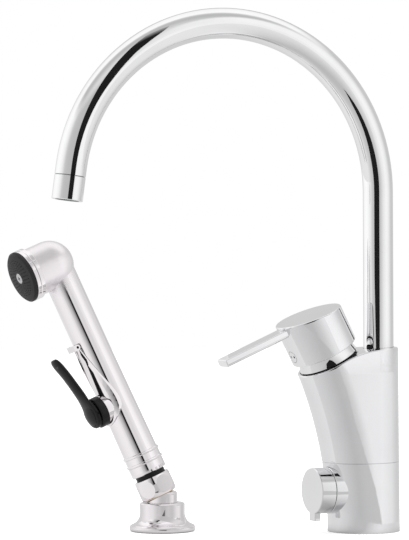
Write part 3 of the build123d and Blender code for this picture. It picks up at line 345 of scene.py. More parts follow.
@dataclass(frozen=True)
class Finish:
    """Look of one kind of surface.

    Attributes:
        name: Name of the material.
        make: How the surface was made.
        colour: Base colour, linear.
        tint: Second colour that the first drifts to in soft patches.
        metallic: 1 for bare or plated metal.
        roughness: Mean roughness.
        spread: How far the roughness drifts either way.
        relief: Depth of the fine texture in metres.
        grain: Features of the fine texture per metre.
        coat: Weight of a clear coat.
        gloss: Strength of the reflection of a surface that isn't metal.
    """

    name: str
    make: Make
    colour: Colour
    tint: Colour
    metallic: float
    roughness: float
    spread: float
    relief: float
    grain: float
    coat: float = 0.0
    gloss: float = 0.5


CHROME = Finish(
    name="chrome",
    make=Make.POLISHED,
    colour=(0.86, 0.86, 0.865),
    tint=(0.83, 0.83, 0.84),
    metallic=1.0,
    roughness=0.04,
    spread=0.015,
    relief=3e-6,
    grain=900.0,
)
CAST_CHROME = Finish(
    name="cast_chrome",
    make=Make.POLISHED,
    colour=(0.85, 0.85, 0.86),
    tint=(0.82, 0.82, 0.835),
    metallic=1.0,
    roughness=0.06,
    spread=0.02,
    relief=5e-6,
    grain=500.0,
)
SPRAY_CHROME = Finish(
    name="spray_chrome",
    make=Make.POLISHED,
    colour=(0.87, 0.84, 0.855),
    tint=(0.85, 0.815, 0.84),
    metallic=1.0,
    roughness=0.05,
    spread=0.02,
    relief=4e-6,
    grain=700.0,
)
BRASS = Finish(
    name="brass",
    make=Make.MACHINED,
    colour=(0.62, 0.45, 0.20),
    tint=(0.54, 0.37, 0.15),
    metallic=1.0,
    roughness=0.28,
    spread=0.06,
    relief=2e-5,
    grain=1800.0,
)
STEEL = Finish(
    name="steel",
    make=Make.MACHINED,
    colour=(0.56, 0.56, 0.57),
    tint=(0.48, 0.48, 0.50),
    metallic=1.0,
    roughness=0.25,
    spread=0.06,
    relief=1e-5,
    grain=2500.0,
)
BLACK_GLOSS = Finish(
    name="black_gloss",
    make=Make.MOULDED,
    colour=(0.006, 0.005, 0.0055),
    tint=(0.010, 0.009, 0.0095),
    metallic=0.0,
    roughness=0.34,
    spread=0.06,
    relief=1.5e-5,
    grain=3500.0,
    gloss=0.22,
)
BLACK_MATT = Finish(
    name="black_matt",
    make=Make.MOULDED,
    colour=(0.022, 0.0205, 0.021),
    tint=(0.030, 0.028, 0.029),
    metallic=0.0,
    roughness=0.45,
    spread=0.06,
    relief=3e-5,
    grain=4200.0,
    gloss=0.12,
)
RUBBER = Finish(
    name="rubber",
    make=Make.MOULDED,
    colour=(0.014, 0.014, 0.014),
    tint=(0.022, 0.021, 0.020),
    metallic=0.0,
    roughness=0.62,
    spread=0.08,
    relief=4e-5,
    grain=2600.0,
)
CERAMIC = Finish(
    name="ceramic",
    make=Make.GROUND,
    colour=(0.82, 0.81, 0.77),
    tint=(0.78, 0.76, 0.71),
    metallic=0.0,
    roughness=0.20,
    spread=0.05,
    relief=6e-6,
    grain=5200.0,
    coat=0.3,
)
PLASTIC = Finish(
    name="plastic",
    make=Make.MOULDED,
    colour=(0.62, 0.61, 0.57),
    tint=(0.56, 0.55, 0.51),
    metallic=0.0,
    roughness=0.45,
    spread=0.07,
    relief=3e-5,
    grain=3000.0,
)
GREY_PLASTIC = Finish(
    name="grey_plastic",
    make=Make.MOULDED,
    colour=(0.30, 0.31, 0.32),
    tint=(0.26, 0.27, 0.28),
    metallic=0.0,
    roughness=0.45,
    spread=0.07,
    relief=3e-5,
    grain=3000.0,
)

# Fine textures: features per metre, and how strongly they show.
PATCH_SCALE = 45.0
PATCH_START = 0.3
PATCH_CONTRAST = 2.2
WIPE_SCALE = 600.0
WIPE_STRETCH: Point = (1.0, 1.0, 0.12)
WIPE_TURN: Point = (0.4, 0.2, 0.0)
WIPE_EDGE = 0.62
DROP_SCALE = 260.0
DROP_SIZE = 0.12
DROP_ROUGHNESS = 0.03
TURNING_STRETCH: Point = (0.05, 0.05, 1.0)
TURNING_SHARE = 0.7
RUB_SCALE = 320.0
RUB_EDGE = 0.6
RELIEF_STRENGTH = 0.35

# Painted shade in shadow gaps and crevices.
PAINTED_SHADE: Colour = (0.03, 0.03, 0.032)
PAINTED_SHADE_REACH = 0.0016
PAINTED_SHADE_CONTRAST = 1.6
PAINTED_SHADE_START = 0.55
RECESS_ROUGHNESS = 0.4
RECESS_SOFTNESS = 0.0001

# Painted dots.
DOT_ROUGHNESS = 0.25
DOT_SOFTNESS = 0.15


@dataclass(frozen=True)
class Satin:
    """A round part of a polished piece that is brushed less shiny.

    Attributes:
        centre: Its middle in metres.
        radius: How far it reaches.
        softness: Width of its edge.
        roughness: What it adds to the roughness.
    """

    centre: Point
    radius: float
    softness: float
    roughness: float


@dataclass(frozen=True)
class ShadedGap:
    """The part of a piece that lies in a shadow gap, on one side of a plane, painted dark as shade.

    Attributes:
        origin: A point on the plane in metres.
        axis: Unit vector from the shaded side to the open side.
    """

    origin: Point
    axis: Point


@dataclass(frozen=True)
class Marks:
    """What differs over one piece from its finish.

    Attributes:
        dots: Centre, radius and colour of each painted dot.
        satin: The less shiny part.
        gap_shade: The part in a shadow gap, painted dark as shade.
    """

    dots: Tuple[Tuple[Point, float, Colour], ...] = ()
    satin: Optional[Satin] = None
    gap_shade: Optional[ShadedGap] = None


def new_material(name: str) -> Tuple[bpy.types.Material, Tree]:
    """New material with an empty tree.

    Args:
        name: Name of the material.

    Returns:
        The material and its tree.
    """
    material = bpy.data.materials.new(name)
    material.use_nodes = True
    return material, Tree(material.node_tree)


class FinishMaker:
    """Builds and keeps one material per finish."""

    def __init__(self) -> None:
        """Start with no materials."""
        self.made: Dict[str, bpy.types.Material] = {}

    def material(self, finish: Finish) -> bpy.types.Material:
        """Material of a finish, built on first use.

        Args:
            finish: The finish.

        Returns:
            The Blender material.
        """
        if finish.name not in self.made:
            self.made[finish.name] = self._build(finish, finish.name, Marks())
        return self.made[finish.name]

    def marked(self, finish: Finish, name: str, marks: Marks) -> bpy.types.Material:
        """Material of a finish for one piece with marks of its own.

        Args:
            finish: The finish.
            name: Name of the new material.
            marks: What differs over the piece.

        Returns:
            The Blender material.
        """
        self.made[name] = self._build(finish, name, marks)
        return self.made[name]

    def _build(self, finish: Finish, name: str, marks: Marks) -> bpy.types.Material:
        """Build the material of a finish.

        Args:
            finish: The finish.
            name: Name of the material.
            marks: What differs over the piece.

        Returns:
            The Blender material.
        """
        material, tree = new_material(name)
        point = tree.position()
        colour, roughness, height = self._texture(tree, point, finish)
        metallic: Number = finish.metallic
        if marks.satin is not None:
            zone = tree.near(point, marks.satin.centre, marks.satin.radius, marks.satin.softness)
            roughness = roughness + zone * marks.satin.roughness
        if marks.gap_shade is not None:
            # Painted shade: the part of the piece in the shadow gap takes the shade colour.
            depth = tree.along(point, marks.gap_shade.origin, marks.gap_shade.axis)
            painted_gap_shade = depth.below(0.0, RECESS_SOFTNESS)
            colour = tree.blend(painted_gap_shade, colour, PAINTED_SHADE)
            roughness = roughness + painted_gap_shade * RECESS_ROUGHNESS
        for centre, radius, paint in marks.dots:
            mask = tree.near(point, centre, radius, radius * DOT_SOFTNESS)
            colour = tree.blend(mask, colour, paint)
            metallic = metallic * (1.0 - mask)
            roughness = roughness + mask * DOT_ROUGHNESS
        surface = tree.add(
            "ShaderNodeBsdfPrincipled",
            {
                "Base Color": colour,
                "Metallic": metallic,
                "Roughness": roughness.clamp(),
                "Coat Weight": finish.coat,
                "Specular IOR Level": finish.gloss,
                "Normal": tree.bump(height, RELIEF_STRENGTH, finish.relief),
            },
        )
        tree.add("ShaderNodeOutputMaterial", {"Surface": surface.outputs[0]})
        return material

    def _texture(self, tree: Tree, point: Value, finish: Finish) -> Tuple[Value, Value, Value]:
        """Fine texture of a finish.

        Args:
            tree: The material's tree.
            point: Place on the surface.
            finish: The finish.

        Returns:
            Its colour, roughness and height.
        """
        patches = tree.noise(point, PATCH_SCALE, 4.0)
        fine = tree.noise(point, finish.grain, 5.0, 0.6)
        colour = tree.blend((patches - PATCH_START) * PATCH_CONTRAST, finish.colour, finish.tint)
        roughness = finish.roughness + (patches - 0.5) * 2.0 * finish.spread
        height = fine
        if finish.make is Make.POLISHED:
            wipes = tree.noise(tree.stretched(point, WIPE_STRETCH, WIPE_TURN), WIPE_SCALE, 4.0, 0.7)
            drops = tree.specks(point, DROP_SCALE, DROP_SIZE)
            roughness = roughness + wipes.above(WIPE_EDGE, 0.1) * finish.spread + drops * DROP_ROUGHNESS
            height = fine * 0.5 + wipes * 0.5
            # Painted shade: crevices that ambient occlusion finds are darkened in the base colour.
            crevice_shade = (tree.crevice(PAINTED_SHADE_REACH) * PAINTED_SHADE_CONTRAST - PAINTED_SHADE_START).clamp()
            colour = tree.blend(crevice_shade, colour, PAINTED_SHADE)
        elif finish.make is Make.MACHINED:
            rings = tree.noise(tree.stretched(point, TURNING_STRETCH), finish.grain, 3.0, 0.4)
            roughness = roughness + (rings - 0.5) * finish.spread
            height = rings * TURNING_SHARE + fine * (1.0 - TURNING_SHARE)
        elif finish.make is Make.MOULDED:
            rub = tree.noise(point, RUB_SCALE, 3.0).above(RUB_EDGE, 0.12)
            roughness = roughness - rub * finish.spread
        return colour, roughness, height


# ------------------------------------------------------------------------------------------------
# The assembly
# ------------------------------------------------------------------------------------------------
@dataclass
class SubAssembly:
    """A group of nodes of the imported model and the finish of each.

    Attributes:
        title: Name for the log.
        finishes: Finish of each node.
    """

    title: str
    finishes: Dict[str, Finish] = field(default_factory=dict)

    def dress(self, nodes: Dict[str, bpy.types.Object], maker: FinishMaker) -> None:
        """Give every node its material.

        Args:
            nodes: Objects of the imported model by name.
            maker: Source of the materials.
        """
        for name, finish in self.finishes.items():
            put_material(nodes[name], maker.material(finish))
        log.info("%s: %d nodes dressed", self.title, len(self.finishes))


def put_material(piece: bpy.types.Object, material: bpy.types.Material) -> None:
    """Replace all materials of an object's slots.

    Args:
        piece: The object.
        material: Its new material.
    """
    if not piece.material_slots:
        piece.data.materials.append(material)
    for place in piece.material_slots:
        place.material = material


COLUMN = SubAssembly(
    "column",
    {
        "base_section": CAST_CHROME,
        "mixer_body": CAST_CHROME,
        "joining_nipple": BRASS,
        "base_gasket": RUBBER,
        "seam_seal": RUBBER,
    },
)
CARTRIDGE = SubAssembly(
    "cartridge",
    {
        "cartridge_housing": PLASTIC,
        "cartridge_nut": BRASS,
        "cartridge_seals": RUBBER,
        "fixed_disc": CERAMIC,
        "moving_disc": CERAMIC,
        "stem_carrier": PLASTIC,
        "stem_pin": STEEL,
        "lever_stem": STEEL,
        "cap_ring": CHROME,
    },
)
LEVER = SubAssembly("lever", {"lever_handle": CAST_CHROME, "lever_grub_screw": STEEL})
SPOUT = SubAssembly(
    "spout",
    {
        "spout_tube": CHROME,
        "spout_spigot": BRASS,
        "spout_o_rings": RUBBER,
        "spout_bush": GREY_PLASTIC,
        "spout_screw": STEEL,
        "aerator_sleeve": CHROME,
        "aerator_insert": GREY_PLASTIC,
        "aerator_seal": RUBBER,
    },
)
VALVE = SubAssembly(
    "dishwasher valve",
    {
        "valve_knob": CHROME,
        "valve_headwork": BRASS,
        "valve_spindle": BRASS,
        "valve_fixed_disc": CERAMIC,
        "valve_turning_disc": CERAMIC,
        "valve_seal": RUBBER,
    },
)
HOLDER = SubAssembly(
    "holder",
    {"holder_flange": SPRAY_CHROME, "holder_cup": SPRAY_CHROME, "holder_gasket": RUBBER},
)
HANDSET = SubAssembly(
    "handset",
    {
        "hose_nut": SPRAY_CHROME,
        "hose_ferrule": BRASS,
        "hose_washer": BLACK_GLOSS,
        "handset_body": SPRAY_CHROME,
        "head_ring": SPRAY_CHROME,
        "face_ring": SPRAY_CHROME,
        "face_plate": BLACK_MATT,
        "face_screw": STEEL,
        "face_seal": RUBBER,
        "boss_collar": BLACK_GLOSS,
        "spray_lever": BLACK_GLOSS,
        "lever_pin": BLACK_GLOSS,
        "valve_plunger": GREY_PLASTIC,
        "plunger_seal": RUBBER,
        "plunger_spring": STEEL,
        "lock_bail": SPRAY_CHROME,
        "lock_catch": SPRAY_CHROME,
        "catch_pin": BLACK_GLOSS,
    },
)
ASSEMBLIES: List[SubAssembly] = [COLUMN, CARTRIDGE, LEVER, SPOUT, VALVE, HOLDER, HANDSET]


LEAN = radians(27.0)  # forward lean of the cartridge axis
CARTRIDGE_AXIS: Point = (0.0, -sin(LEAN), cos(LEAN))
CARTRIDGE_FOOT: Point = (0.0, -0.0275, 0.119)  # where the axis meets the body's top face
RING_LIFT = 0.0008  # height of the shadow gap under the cap ring
RING_FLARE: Point = (
    0.0,
    CARTRIDGE_FOOT[1] + RING_LIFT * CARTRIDGE_AXIS[1],
    CARTRIDGE_FOOT[2] + RING_LIFT * CARTRIDGE_AXIS[2],
)
SPRAY_HEAD: Point = (-0.0933, -0.205, 0.186)
MARKED: Dict[str, Tuple[Finish, Marks]] = {
    "handset_body": (SPRAY_CHROME, Marks(satin=Satin(SPRAY_HEAD, 0.026, 0.012, 0.30))),
    # The cap ring's foot in the shadow gap under it gets painted shade.
    "cap_ring": (CHROME, Marks(gap_shade=ShadedGap(RING_FLARE, CARTRIDGE_AXIS))),
}


@dataclass(frozen=True)
class IndexPlug:
    """The plug in the lever's cap with its hot and cold dots.

    Attributes:
        rise: Height of the plug's centre above the body's top face along the cartridge axis.
        reach: Distance of the plug's face from the axis.
        spacing: Distance between the two dots.
        dot: Radius of a dot.
        hot: Paint of the dot on the left.
        cold: Paint of the dot on the right.
    """

    rise: float = 0.0154
    reach: float = 0.0235
    spacing: float = 0.0043
    dot: float = 0.0009
    hot: Colour = (0.16, 0.02, 0.02)
    cold: Colour = (0.01, 0.015, 0.06)

    def dress(self, plug: bpy.types.Object, maker: FinishMaker) -> None:
        """Paint the dots on the plug.

        Args:
            plug: The plug's object.
            maker: Source of the materials.
        """
        along = Vector(CARTRIDGE_AXIS)
        front = Vector((0.0, -cos(LEAN), -sin(LEAN)))
        middle = Vector(CARTRIDGE_FOOT) + along * self.rise + front * self.reach
        side = Vector((self.spacing / 2, 0.0, 0.0))
        dots = ((tuple(middle - side), self.dot, self.hot), (tuple(middle + side), self.dot, self.cold))
        put_material(plug, maker.marked(CAST_CHROME, "index_chrome", Marks(dots=dots)))


# ------------------------------------------------------------------------------------------------
# Studio
# ------------------------------------------------------------------------------------------------
CAMERA_AZIMUTH = -28.9  # of the camera as seen from the mixer, in degrees


def camera_side() -> Vector:
    """Level unit vector from the mixer towards the camera."""
    azimuth = radians(CAMERA_AZIMUTH)
    return Vector((cos(azimuth), sin(azimuth), 0.0))


def studio_mesh(name: str, points: List[Point], faces: Sequence[Sequence[int]]) -> bpy.types.Object:
    """Add a plain mesh of the studio to the scene.

    Args:
        name: Name of the mesh and its object.
        points: Corners in metres.
        faces: Corners of each face.

    Returns:
        The object.
    """
    mesh = bpy.data.meshes.new(name)
    mesh.from_pydata(points, [], faces)
    thing = bpy.data.objects.new(name, mesh)
    bpy.context.scene.collection.objects.link(thing)
    return thing


def show_to_metal_only(thing: bpy.types.Object) -> None:
    """Hide an object from all but mirrored rays.

    Args:
        thing: The object.
    """
    thing.visible_camera = False
    thing.visible_diffuse = False
    thing.visible_shadow = False


@dataclass(frozen=True)
class StudioCamera:
    """The photographer's camera.

    Attributes:
        place: Position in metres.
        yaw: Turn of the view to the left of the line to the mixer.
        pitch: Turn of the view downward.
        roll: Turn of the picture about the line of sight, positive clockwise.
        lens: Focal length in millimetres.
        sensor: Long side of the sensor in millimetres.
        clip: Nearest and furthest distance that it sees, in metres.
    """

    place: Point = (1.8228, -1.0062, 0.2103)
    yaw: float = 3.04
    pitch: float = 0.777
    roll: float = -0.267
    lens: float = 199.0
    sensor: float = 36.0
    clip: Tuple[float, float] = (0.05, 60.0)

    def build(self) -> None:
        """Create the camera and make it the scene's."""
        up = Vector(UPRIGHT)
        forward = -camera_side()
        right = forward.cross(up)
        aim = forward * cos(radians(self.yaw)) - right * sin(radians(self.yaw))
        right = aim.cross(up)
        aim = aim * cos(radians(self.pitch)) - up * sin(radians(self.pitch))
        upright = right.cross(aim)
        tilted_right = right * cos(radians(self.roll)) + upright * sin(radians(self.roll))
        tilted_up = tilted_right.cross(aim)
        data = bpy.data.cameras.new("studio_camera")
        data.lens = self.lens
        data.sensor_width = self.sensor
        data.clip_start, data.clip_end = self.clip
        camera = bpy.data.objects.new("studio_camera", data)
        rows = Matrix((tilted_right, tilted_up, -aim)).transposed()
        camera.matrix_world = Matrix.Translation(Vector(self.place)) @ rows.to_4x4()
        bpy.context.scene.collection.objects.link(camera)
        bpy.context.scene.camera = camera


def by_angle(levels: Sequence[Tuple[float, float]]) -> List[Tuple[float, float]]:
    """Stops of a ramp for levels by angle.

    Args:
        levels: Angles from -180 to 180 degrees and brightness.

    Returns:
        Places from 0 to 1 and brightness.
    """
    return [((angle + 180.0) / 360.0, level) for angle, level in levels]


def around(
    tree: Tree,
    direction: bpy.types.NodeSocket,
    levels: Sequence[Tuple[float, float]],
    start: float = CAMERA_AZIMUTH,
    twist: Number = 0.0,
) -> Value:
    """Brightness by azimuth from the camera's side of the room.

    Args:
        tree: The node tree.
        direction: Direction or place about the object.
        levels: Azimuths in degrees, positive to the picture's right, and brightness.
        start: Azimuth of the camera's side in the coordinates of the direction.
        twist: Radians by which the pattern turns to the picture's right.

    Returns:
        The brightness.
    """
    turned = tree.add(
        "ShaderNodeVectorRotate",
        {"Vector": direction, "Axis": UPRIGHT, "Angle": radians(-start) - twist},
        rotation_type="AXIS_ANGLE",
    )
    parts = tree.add("ShaderNodeSeparateXYZ", {0: turned.outputs[0]})
    across = Value(tree, parts.outputs["Y"])
    ahead = Value(tree, parts.outputs["X"])
    azimuth = tree.math("ARCTAN2", across, ahead) / radians(360.0) + 0.5
    return tree.ramp(azimuth, by_angle(levels))


@dataclass(frozen=True)
class Surround:
    """The pale room that the polished metal sees.

    Attributes:
        levels: Brightness by azimuth from the camera in degrees, positive to the picture's right.
        ceiling: Brightness overhead from behind the object, -180, to the camera's side, 180.
        ceiling_start: Sine of the elevation at which the walls meet the ceiling.
        ceiling_blend: How softly they meet.
    """

    levels: Tuple[Tuple[float, float], ...] = (
        (-180.0, 0.66),
        (-158.0, 0.72),
        (-137.0, 1.0),
        (-119.0, 1.12),
        (-95.0, 1.15),
        (-72.0, 1.05),
        (-62.0, 0.96),
        (-53.0, 0.84),
        (-45.0, 0.70),
        (-36.0, 0.63),
        (-20.0, 0.59),
        (5.0, 0.57),
        (12.0, 0.59),
        (20.0, 0.66),
        (28.0, 0.76),
        (36.0, 0.86),
        (45.0, 0.98),
        (56.0, 1.06),
        (72.0, 1.06),
        (82.0, 1.01),
        (93.0, 0.92),
        (105.0, 0.77),
        (119.0, 0.66),
        (140.0, 0.67),
        (180.0, 0.66),
    )
    ceiling: Tuple[Tuple[float, float], ...] = (
        (-180.0, 1.0),
        (-60.0, 1.12),
        (-20.0, 1.12),
        (10.0, 0.66),
        (40.0, 0.56),
        (70.0, 0.62),
        (110.0, 0.80),
        (180.0, 0.95),
    )
    ceiling_start: float = 0.62
    ceiling_blend: float = 0.16

    def build(self) -> None:
        """Create the world."""
        world = bpy.data.worlds.new("surround")
        world.use_nodes = True
        bpy.context.scene.world = world
        tree = Tree(world.node_tree)
        direction = tree.add("ShaderNodeTexCoord").outputs["Generated"]
        height = Value(tree, tree.add("ShaderNodeSeparateXYZ", {0: direction}).outputs["Z"])
        walls = around(tree, direction, self.levels)
        ahead = tree.along(Value(tree, direction), (0.0, 0.0, 0.0), tuple(camera_side()))
        overhead = tree.ramp(ahead * 0.5 + 0.5, by_angle(self.ceiling))
        high = height.above(self.ceiling_start, self.ceiling_blend)
        room = walls * (1.0 - high) + overhead * high
        seen = Value(tree, tree.add("ShaderNodeLightPath").outputs["Is Camera Ray"])
        level = room * (1.0 - seen) + seen
        background = tree.add("ShaderNodeBackground", {"Color": level, "Strength": 1.0})
        tree.add("ShaderNodeOutputWorld", {"Surface": background.outputs[0]})


@dataclass(frozen=True)
class Floor:
    """The pale table that the tap stands on.

    Attributes:
        radius: Radius in metres.
        sides: Number of sides of its outline.
        drop: Depth of its face below the deck plane in metres.
        paint: Colour of the table.
        glow: Even light that keeps it white.
        middle: Middle of the part round the mixer's foot.
        clear: Radius of that part in metres.
        close_levels: Brightness that the metal sees there, by azimuth as in the surround.
        levels: The same further out.
        contact_shadow: Strength of the painted contact shadow, darker where the object stands.
        contact_shadow_reach: How far from the object that painted shadow goes, in metres.
    """

    radius: float = 3.2
    sides: int = 96
    drop: float = 0.0002
    paint: Colour = (0.9, 0.9, 0.9)
    glow: float = 0.42
    middle: Point = (0.0, -0.02, 0.0)
    clear: float = 0.16
    close_levels: Tuple[Tuple[float, float], ...] = (
        (-180.0, 0.80),
        (-75.0, 0.82),
        (-45.0, 0.74),
        (-10.0, 0.60),
        (20.0, 0.60),
        (45.0, 0.84),
        (60.0, 0.92),
        (95.0, 0.76),
        (180.0, 0.74),
    )
    levels: Tuple[Tuple[float, float], ...] = (
        (-180.0, 0.70),
        (-120.0, 0.90),
        (-70.0, 0.92),
        (-40.0, 0.66),
        (-15.0, 0.58),
        (5.0, 0.58),
        (25.0, 0.70),
        (50.0, 0.92),
        (80.0, 0.90),
        (110.0, 0.72),
        (180.0, 0.70),
    )
    contact_shadow: float = 0.6
    contact_shadow_reach: float = 0.045

    def build(self) -> None:
        """Create the table top just under the deck plane."""
        turns = [radians(360.0 * step / self.sides) for step in range(self.sides)]
        ring = [(self.radius * cos(turn), self.radius * sin(turn), 0.0) for turn in turns]
        top = studio_mesh("table_top", ring, [list(range(self.sides))])
        top.location = (0.0, 0.0, -self.drop)
        material, tree = new_material("table")
        cloud = tree.noise(tree.position(), 3.0, 2.0)
        colour = tree.blend(cloud, self.paint, tuple(0.985 * part for part in self.paint))
        diffuse = tree.add("ShaderNodeBsdfDiffuse", {"Color": colour})
        light = tree.add("ShaderNodeEmission", {"Color": (1.0, 1.0, 1.0, 1.0), "Strength": self.glow})
        both = tree.add("ShaderNodeAddShader", {0: diffuse.outputs[0], 1: light.outputs[0]})
        place = tree.position()
        offset = tree.add("ShaderNodeVectorMath", {0: place, 1: self.middle}, operation="SUBTRACT")
        close = tree.near(place, self.middle, self.clear, 0.3 * self.clear)
        far_level = around(tree, place.socket, self.levels)
        level = far_level * (1.0 - close) + around(tree, offset.outputs[0], self.close_levels) * close
        # Painted contact shadow: what the metal sees of the table darkens near the object's foot.
        level = level * (1.0 - tree.crevice(self.contact_shadow_reach) * self.contact_shadow)
        mirrored = tree.add("ShaderNodeEmission", {"Color": level})
        seen = tree.add("ShaderNodeLightPath").outputs["Is Camera Ray"]
        mixed = tree.add("ShaderNodeMixShader", {0: seen, 1: mirrored.outputs[0], 2: both.outputs[0]})
        tree.add("ShaderNodeOutputMaterial", {"Surface": mixed.outputs[0]})
        top.data.materials.append(material)


STEP_UP = ((-180.0, 0.0), (-1.0, 0.0), (1.0, 1.0), (180.0, 1.0))


@dataclass(frozen=True)
class ReflectorCard:
    """A card bent about an axis, which only the polished metal sees.

    Attributes:
        name: Name of the card.
        centre: Point that the card bends about.
        axis: Unit vector that it bends about.
        radius: Its distance from the axis in metres.
        span: First and last angle from the camera's side about the axis, in degrees.
        reach: Lower and upper edge along the axis in metres.
        levels: Brightness by that angle, positive to the picture's right.
        shade: Brightness before the bright edge, for a card that has one.
        edge: Angle of the bright edge by height as a share of the card's, from the bottom up.
        steps: Number of flat strips that the card is made of.
    """

    name: str
    centre: Point
    axis: Point
    radius: float
    span: Tuple[float, float]
    reach: Tuple[float, float]
    levels: Tuple[Tuple[float, float], ...]
    shade: Tuple[Tuple[float, float], ...] = ()
    edge: Tuple[Tuple[float, float], ...] = ()
    steps: int = 32

    def build(self) -> None:
        """Create the card."""
        points: List[Point] = []
        for step in range(self.steps + 1):
            turn = radians(self.span[0] + (self.span[1] - self.span[0]) * step / self.steps)
            x = self.radius * cos(turn)
            y = self.radius * sin(turn)
            points += [(x, y, self.reach[0]), (x, y, self.reach[1])]
        faces = [(2 * step, 2 * step + 2, 2 * step + 3, 2 * step + 1) for step in range(self.steps)]
        card = studio_mesh(self.name, points, faces)
        up = Vector(self.axis).normalized()
        ahead = camera_side()
        ahead = (ahead - up * ahead.dot(up)).normalized()
        rows = Matrix((ahead, up.cross(ahead), up)).transposed()
        card.matrix_world = Matrix.Translation(Vector(self.centre)) @ rows.to_4x4()
        show_to_metal_only(card)
        material, tree = new_material(self.name)
        place = tree.add("ShaderNodeTexCoord").outputs["Object"]
        level = around(tree, place, self.levels, 0.0)
        if self.shade:
            height = Value(tree, tree.add("ShaderNodeSeparateXYZ", {0: place}).outputs["Z"])
            turns = [(share, degrees / 180.0) for share, degrees in self.edge]
            twist = tree.ramp(height / self.reach[1], turns) * radians(180.0)
            lit = around(tree, place, STEP_UP, 0.0, twist)
            level = level * lit + around(tree, place, self.shade, 0.0) * (1.0 - lit)
        inside = tree.add("ShaderNodeNewGeometry").outputs["Backfacing"]
        light = tree.add("ShaderNodeEmission", {"Color": level}).outputs[0]
        clear = tree.add("ShaderNodeBsdfTransparent").outputs[0]
        card_light = tree.add("ShaderNodeMixShader", {0: inside, 1: clear, 2: light}).outputs[0]
        tree.add("ShaderNodeOutputMaterial", {"Surface": card_light})
        card.data.materials.append(material)


HOSE_NUT: Point = (-0.0682, -0.1286, 0.0316)
HANDSET_AXIS: Point = (-0.1706, -0.3727, 0.9121)
COLUMN_MIDDLE: Point = (0.0, -0.012, 0.0)
HOLDER_FOOT: Point = (-0.0623, -0.1157, 0.0)
CARDS = (
    ReflectorCard(
        name="body_card_left",
        centre=COLUMN_MIDDLE,
        axis=UPRIGHT,
        radius=0.1,
        span=(-150.0, 0.0),
        reach=(0.0, 0.108),
        levels=(
            (-180.0, 0.80),
            (-110.0, 0.82),
            (-75.0, 0.86),
            (-70.0, 0.87),
            (-68.0, 0.76),
            (-45.0, 0.71),
            (-25.0, 0.645),
            (-5.0, 0.58),
            (0.0, 0.575),
            (180.0, 0.575),
        ),
    ),
    ReflectorCard(
        name="body_card_right",
        centre=COLUMN_MIDDLE,
        axis=UPRIGHT,
        radius=0.1,
        span=(0.0, 130.0),
        reach=(0.0, 0.108),
        levels=(
            (-180.0, 0.64),
            (16.0, 0.66),
            (27.0, 0.73),
            (39.0, 0.84),
            (50.0, 0.94),
            (60.0, 0.99),
            (75.0, 0.95),
            (94.0, 0.88),
            (107.0, 0.77),
            (120.0, 0.70),
            (180.0, 0.66),
        ),
        shade=((-180.0, 0.575), (2.0, 0.575), (20.0, 0.61), (60.0, 0.64), (180.0, 0.66)),
        edge=(
            (0.0, 60.0),
            (0.22, 48.0),
            (0.40, 30.0),
            (0.48, 24.0),
            (0.55, 19.0),
            (0.71, 21.0),
            (0.92, 18.0),
            (1.0, 15.0),
        ),
    ),
    ReflectorCard(
        name="handset_card",
        centre=HOSE_NUT,
        axis=HANDSET_AXIS,
        radius=0.085,
        span=(-125.0, 125.0),
        reach=(0.007, 0.18),
        levels=(
            (-180.0, 0.80),
            (-110.0, 0.86),
            (-68.0, 0.98),
            (-45.0, 1.0),
            (-37.0, 0.95),
            (-28.0, 0.86),
            (-23.0, 0.70),
            (-16.0, 0.62),
            (-9.0, 0.44),
            (-1.0, 0.2),
            (0.5, 0.01),
            (9.2, 0.01),
            (10.8, 0.83),
            (25.0, 0.79),
            (33.0, 0.82),
            (40.0, 0.91),
            (47.0, 0.98),
            (55.0, 1.05),
            (63.0, 1.09),
            (71.0, 1.06),
            (80.0, 1.0),
            (89.0, 0.90),
            (99.0, 0.82),
            (110.0, 0.79),
            (180.0, 0.78),
        ),
    ),
    ReflectorCard(
        name="nut_card",
        centre=HOSE_NUT,
        axis=HANDSET_AXIS,
        radius=0.045,
        span=(-125.0, 125.0),
        reach=(-0.022, 0.008),
        levels=(
            (-180.0, 0.62),
            (-110.0, 0.64),
            (-80.0, 0.80),
            (-50.0, 0.84),
            (-25.0, 0.72),
            (-8.0, 0.62),
            (0.0, 0.56),
            (20.0, 0.60),
            (45.0, 0.64),
            (70.0, 0.80),
            (90.0, 0.84),
            (120.0, 0.66),
            (180.0, 0.62),
        ),
    ),
    ReflectorCard(
        name="holder_card",
        centre=HOLDER_FOOT,
        axis=UPRIGHT,
        radius=0.048,
        span=(-130.0, 130.0),
        reach=(0.0, 0.024),
        levels=(
            (-180.0, 0.62),
            (-100.0, 0.75),
            (-70.0, 0.98),
            (-45.0, 0.88),
            (-25.0, 0.64),
            (-18.0, 0.58),
            (-14.0, 0.20),
            (0.0, 0.12),
            (3.0, 0.20),
            (6.0, 0.62),
            (20.0, 0.68),
            (40.0, 0.62),
            (65.0, 0.86),
            (85.0, 0.92),
            (105.0, 0.66),
            (180.0, 0.62),
        ),
    ),
)


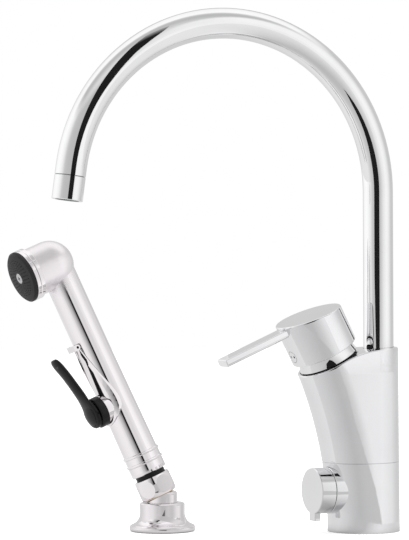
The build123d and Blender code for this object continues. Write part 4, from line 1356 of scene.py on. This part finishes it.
@dataclass(frozen=True)
class DarkPanel:
    """The dark opening on the photographer's side, which only the polished metal sees.

    Attributes:
        name: Name of the panel.
        outline: Its corners: distance to the picture's right of the mixer and height, in metres.
        ahead: Its distance from the mixer towards the camera, straight in front of it.
        turn: How much further away it is for each metre to the right.
        level: Its brightness.
        fade_from: Height from which it fades.
        fade: How fast it fades upwards, per metre.
    """

    name: str = "dark_panel"
    outline: Tuple[Tuple[float, float], ...] = (
        (-0.055, 0.06),
        (0.055, 0.06),
        (0.089, 0.13),
        (0.089, 1.15),
        (-0.162, 1.15),
        (-0.162, 0.17),
    )
    ahead: float = 0.38
    turn: float = 0.4
    level: float = 0.015
    fade_from: float = 0.72
    fade: float = 1.1

    def build(self) -> None:
        """Create the panel."""
        ahead = camera_side()
        right = Vector((-ahead.y, ahead.x, 0.0))
        points: List[Point] = []
        for across, height in self.outline:
            corner = ahead * (self.ahead + self.turn * across) + right * across
            points.append((corner.x, corner.y, height))
        panel = studio_mesh(self.name, points, [tuple(range(len(points)))])
        show_to_metal_only(panel)
        material, tree = new_material(self.name)
        height = Value(tree, tree.add("ShaderNodeSeparateXYZ", {0: tree.position()}).outputs["Z"])
        level = self.level + (height - self.fade_from).clamp() * self.fade
        dark = tree.add("ShaderNodeEmission", {"Color": level})
        tree.add("ShaderNodeOutputMaterial", {"Surface": dark.outputs[0]})
        panel.data.materials.append(material)


@dataclass(frozen=True)
class SoftLight:
    """A soft box.

    Attributes:
        name: Name of the light.
        place: Position in metres.
        target: Point that it faces.
        size: Side of its square in metres.
        power: Power in watts.
    """

    name: str
    place: Point
    target: Point
    size: float
    power: float

    def build(self) -> None:
        """Create the light."""
        data = bpy.data.lights.new(self.name, "AREA")
        data.shape = "SQUARE"
        data.size = self.size
        data.energy = self.power
        light = bpy.data.objects.new(self.name, data)
        light.location = self.place
        light.visible_glossy = False
        aim = Vector(self.target) - Vector(self.place)
        light.rotation_mode = "QUATERNION"
        light.rotation_quaternion = aim.to_track_quat("-Z", "Y")
        bpy.context.scene.collection.objects.link(light)


LIGHTS = (
    SoftLight("top_box", (0.1, -0.3, 2.2), (0.0, -0.1, 0.0), 1.6, 26.0),
    SoftLight("left_box", (-0.6, -2.0, 1.2), (0.0, -0.1, 0.15), 0.9, 7.0),
)


def main() -> None:
    """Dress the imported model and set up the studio."""
    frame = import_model()
    nodes = frame["nodes"]
    maker = FinishMaker()
    for assembly in ASSEMBLIES:
        assembly.dress(nodes, maker)
    IndexPlug().dress(nodes["index_plug"], maker)
    for name, (finish, marks) in MARKED.items():
        put_material(nodes[name], maker.marked(finish, f"{name}_{finish.name}", marks))
    Surround().build()
    Floor().build()
    for card in CARDS:
        card.build()
    DarkPanel().build()
    for light in LIGHTS:
        light.build()
    StudioCamera().build()
    bpy.context.scene.view_settings.view_transform = "Standard"


if __name__ == "__main__":
    logging.basicConfig(level=logging.INFO, format="%(name)s: %(message)s")
    main()
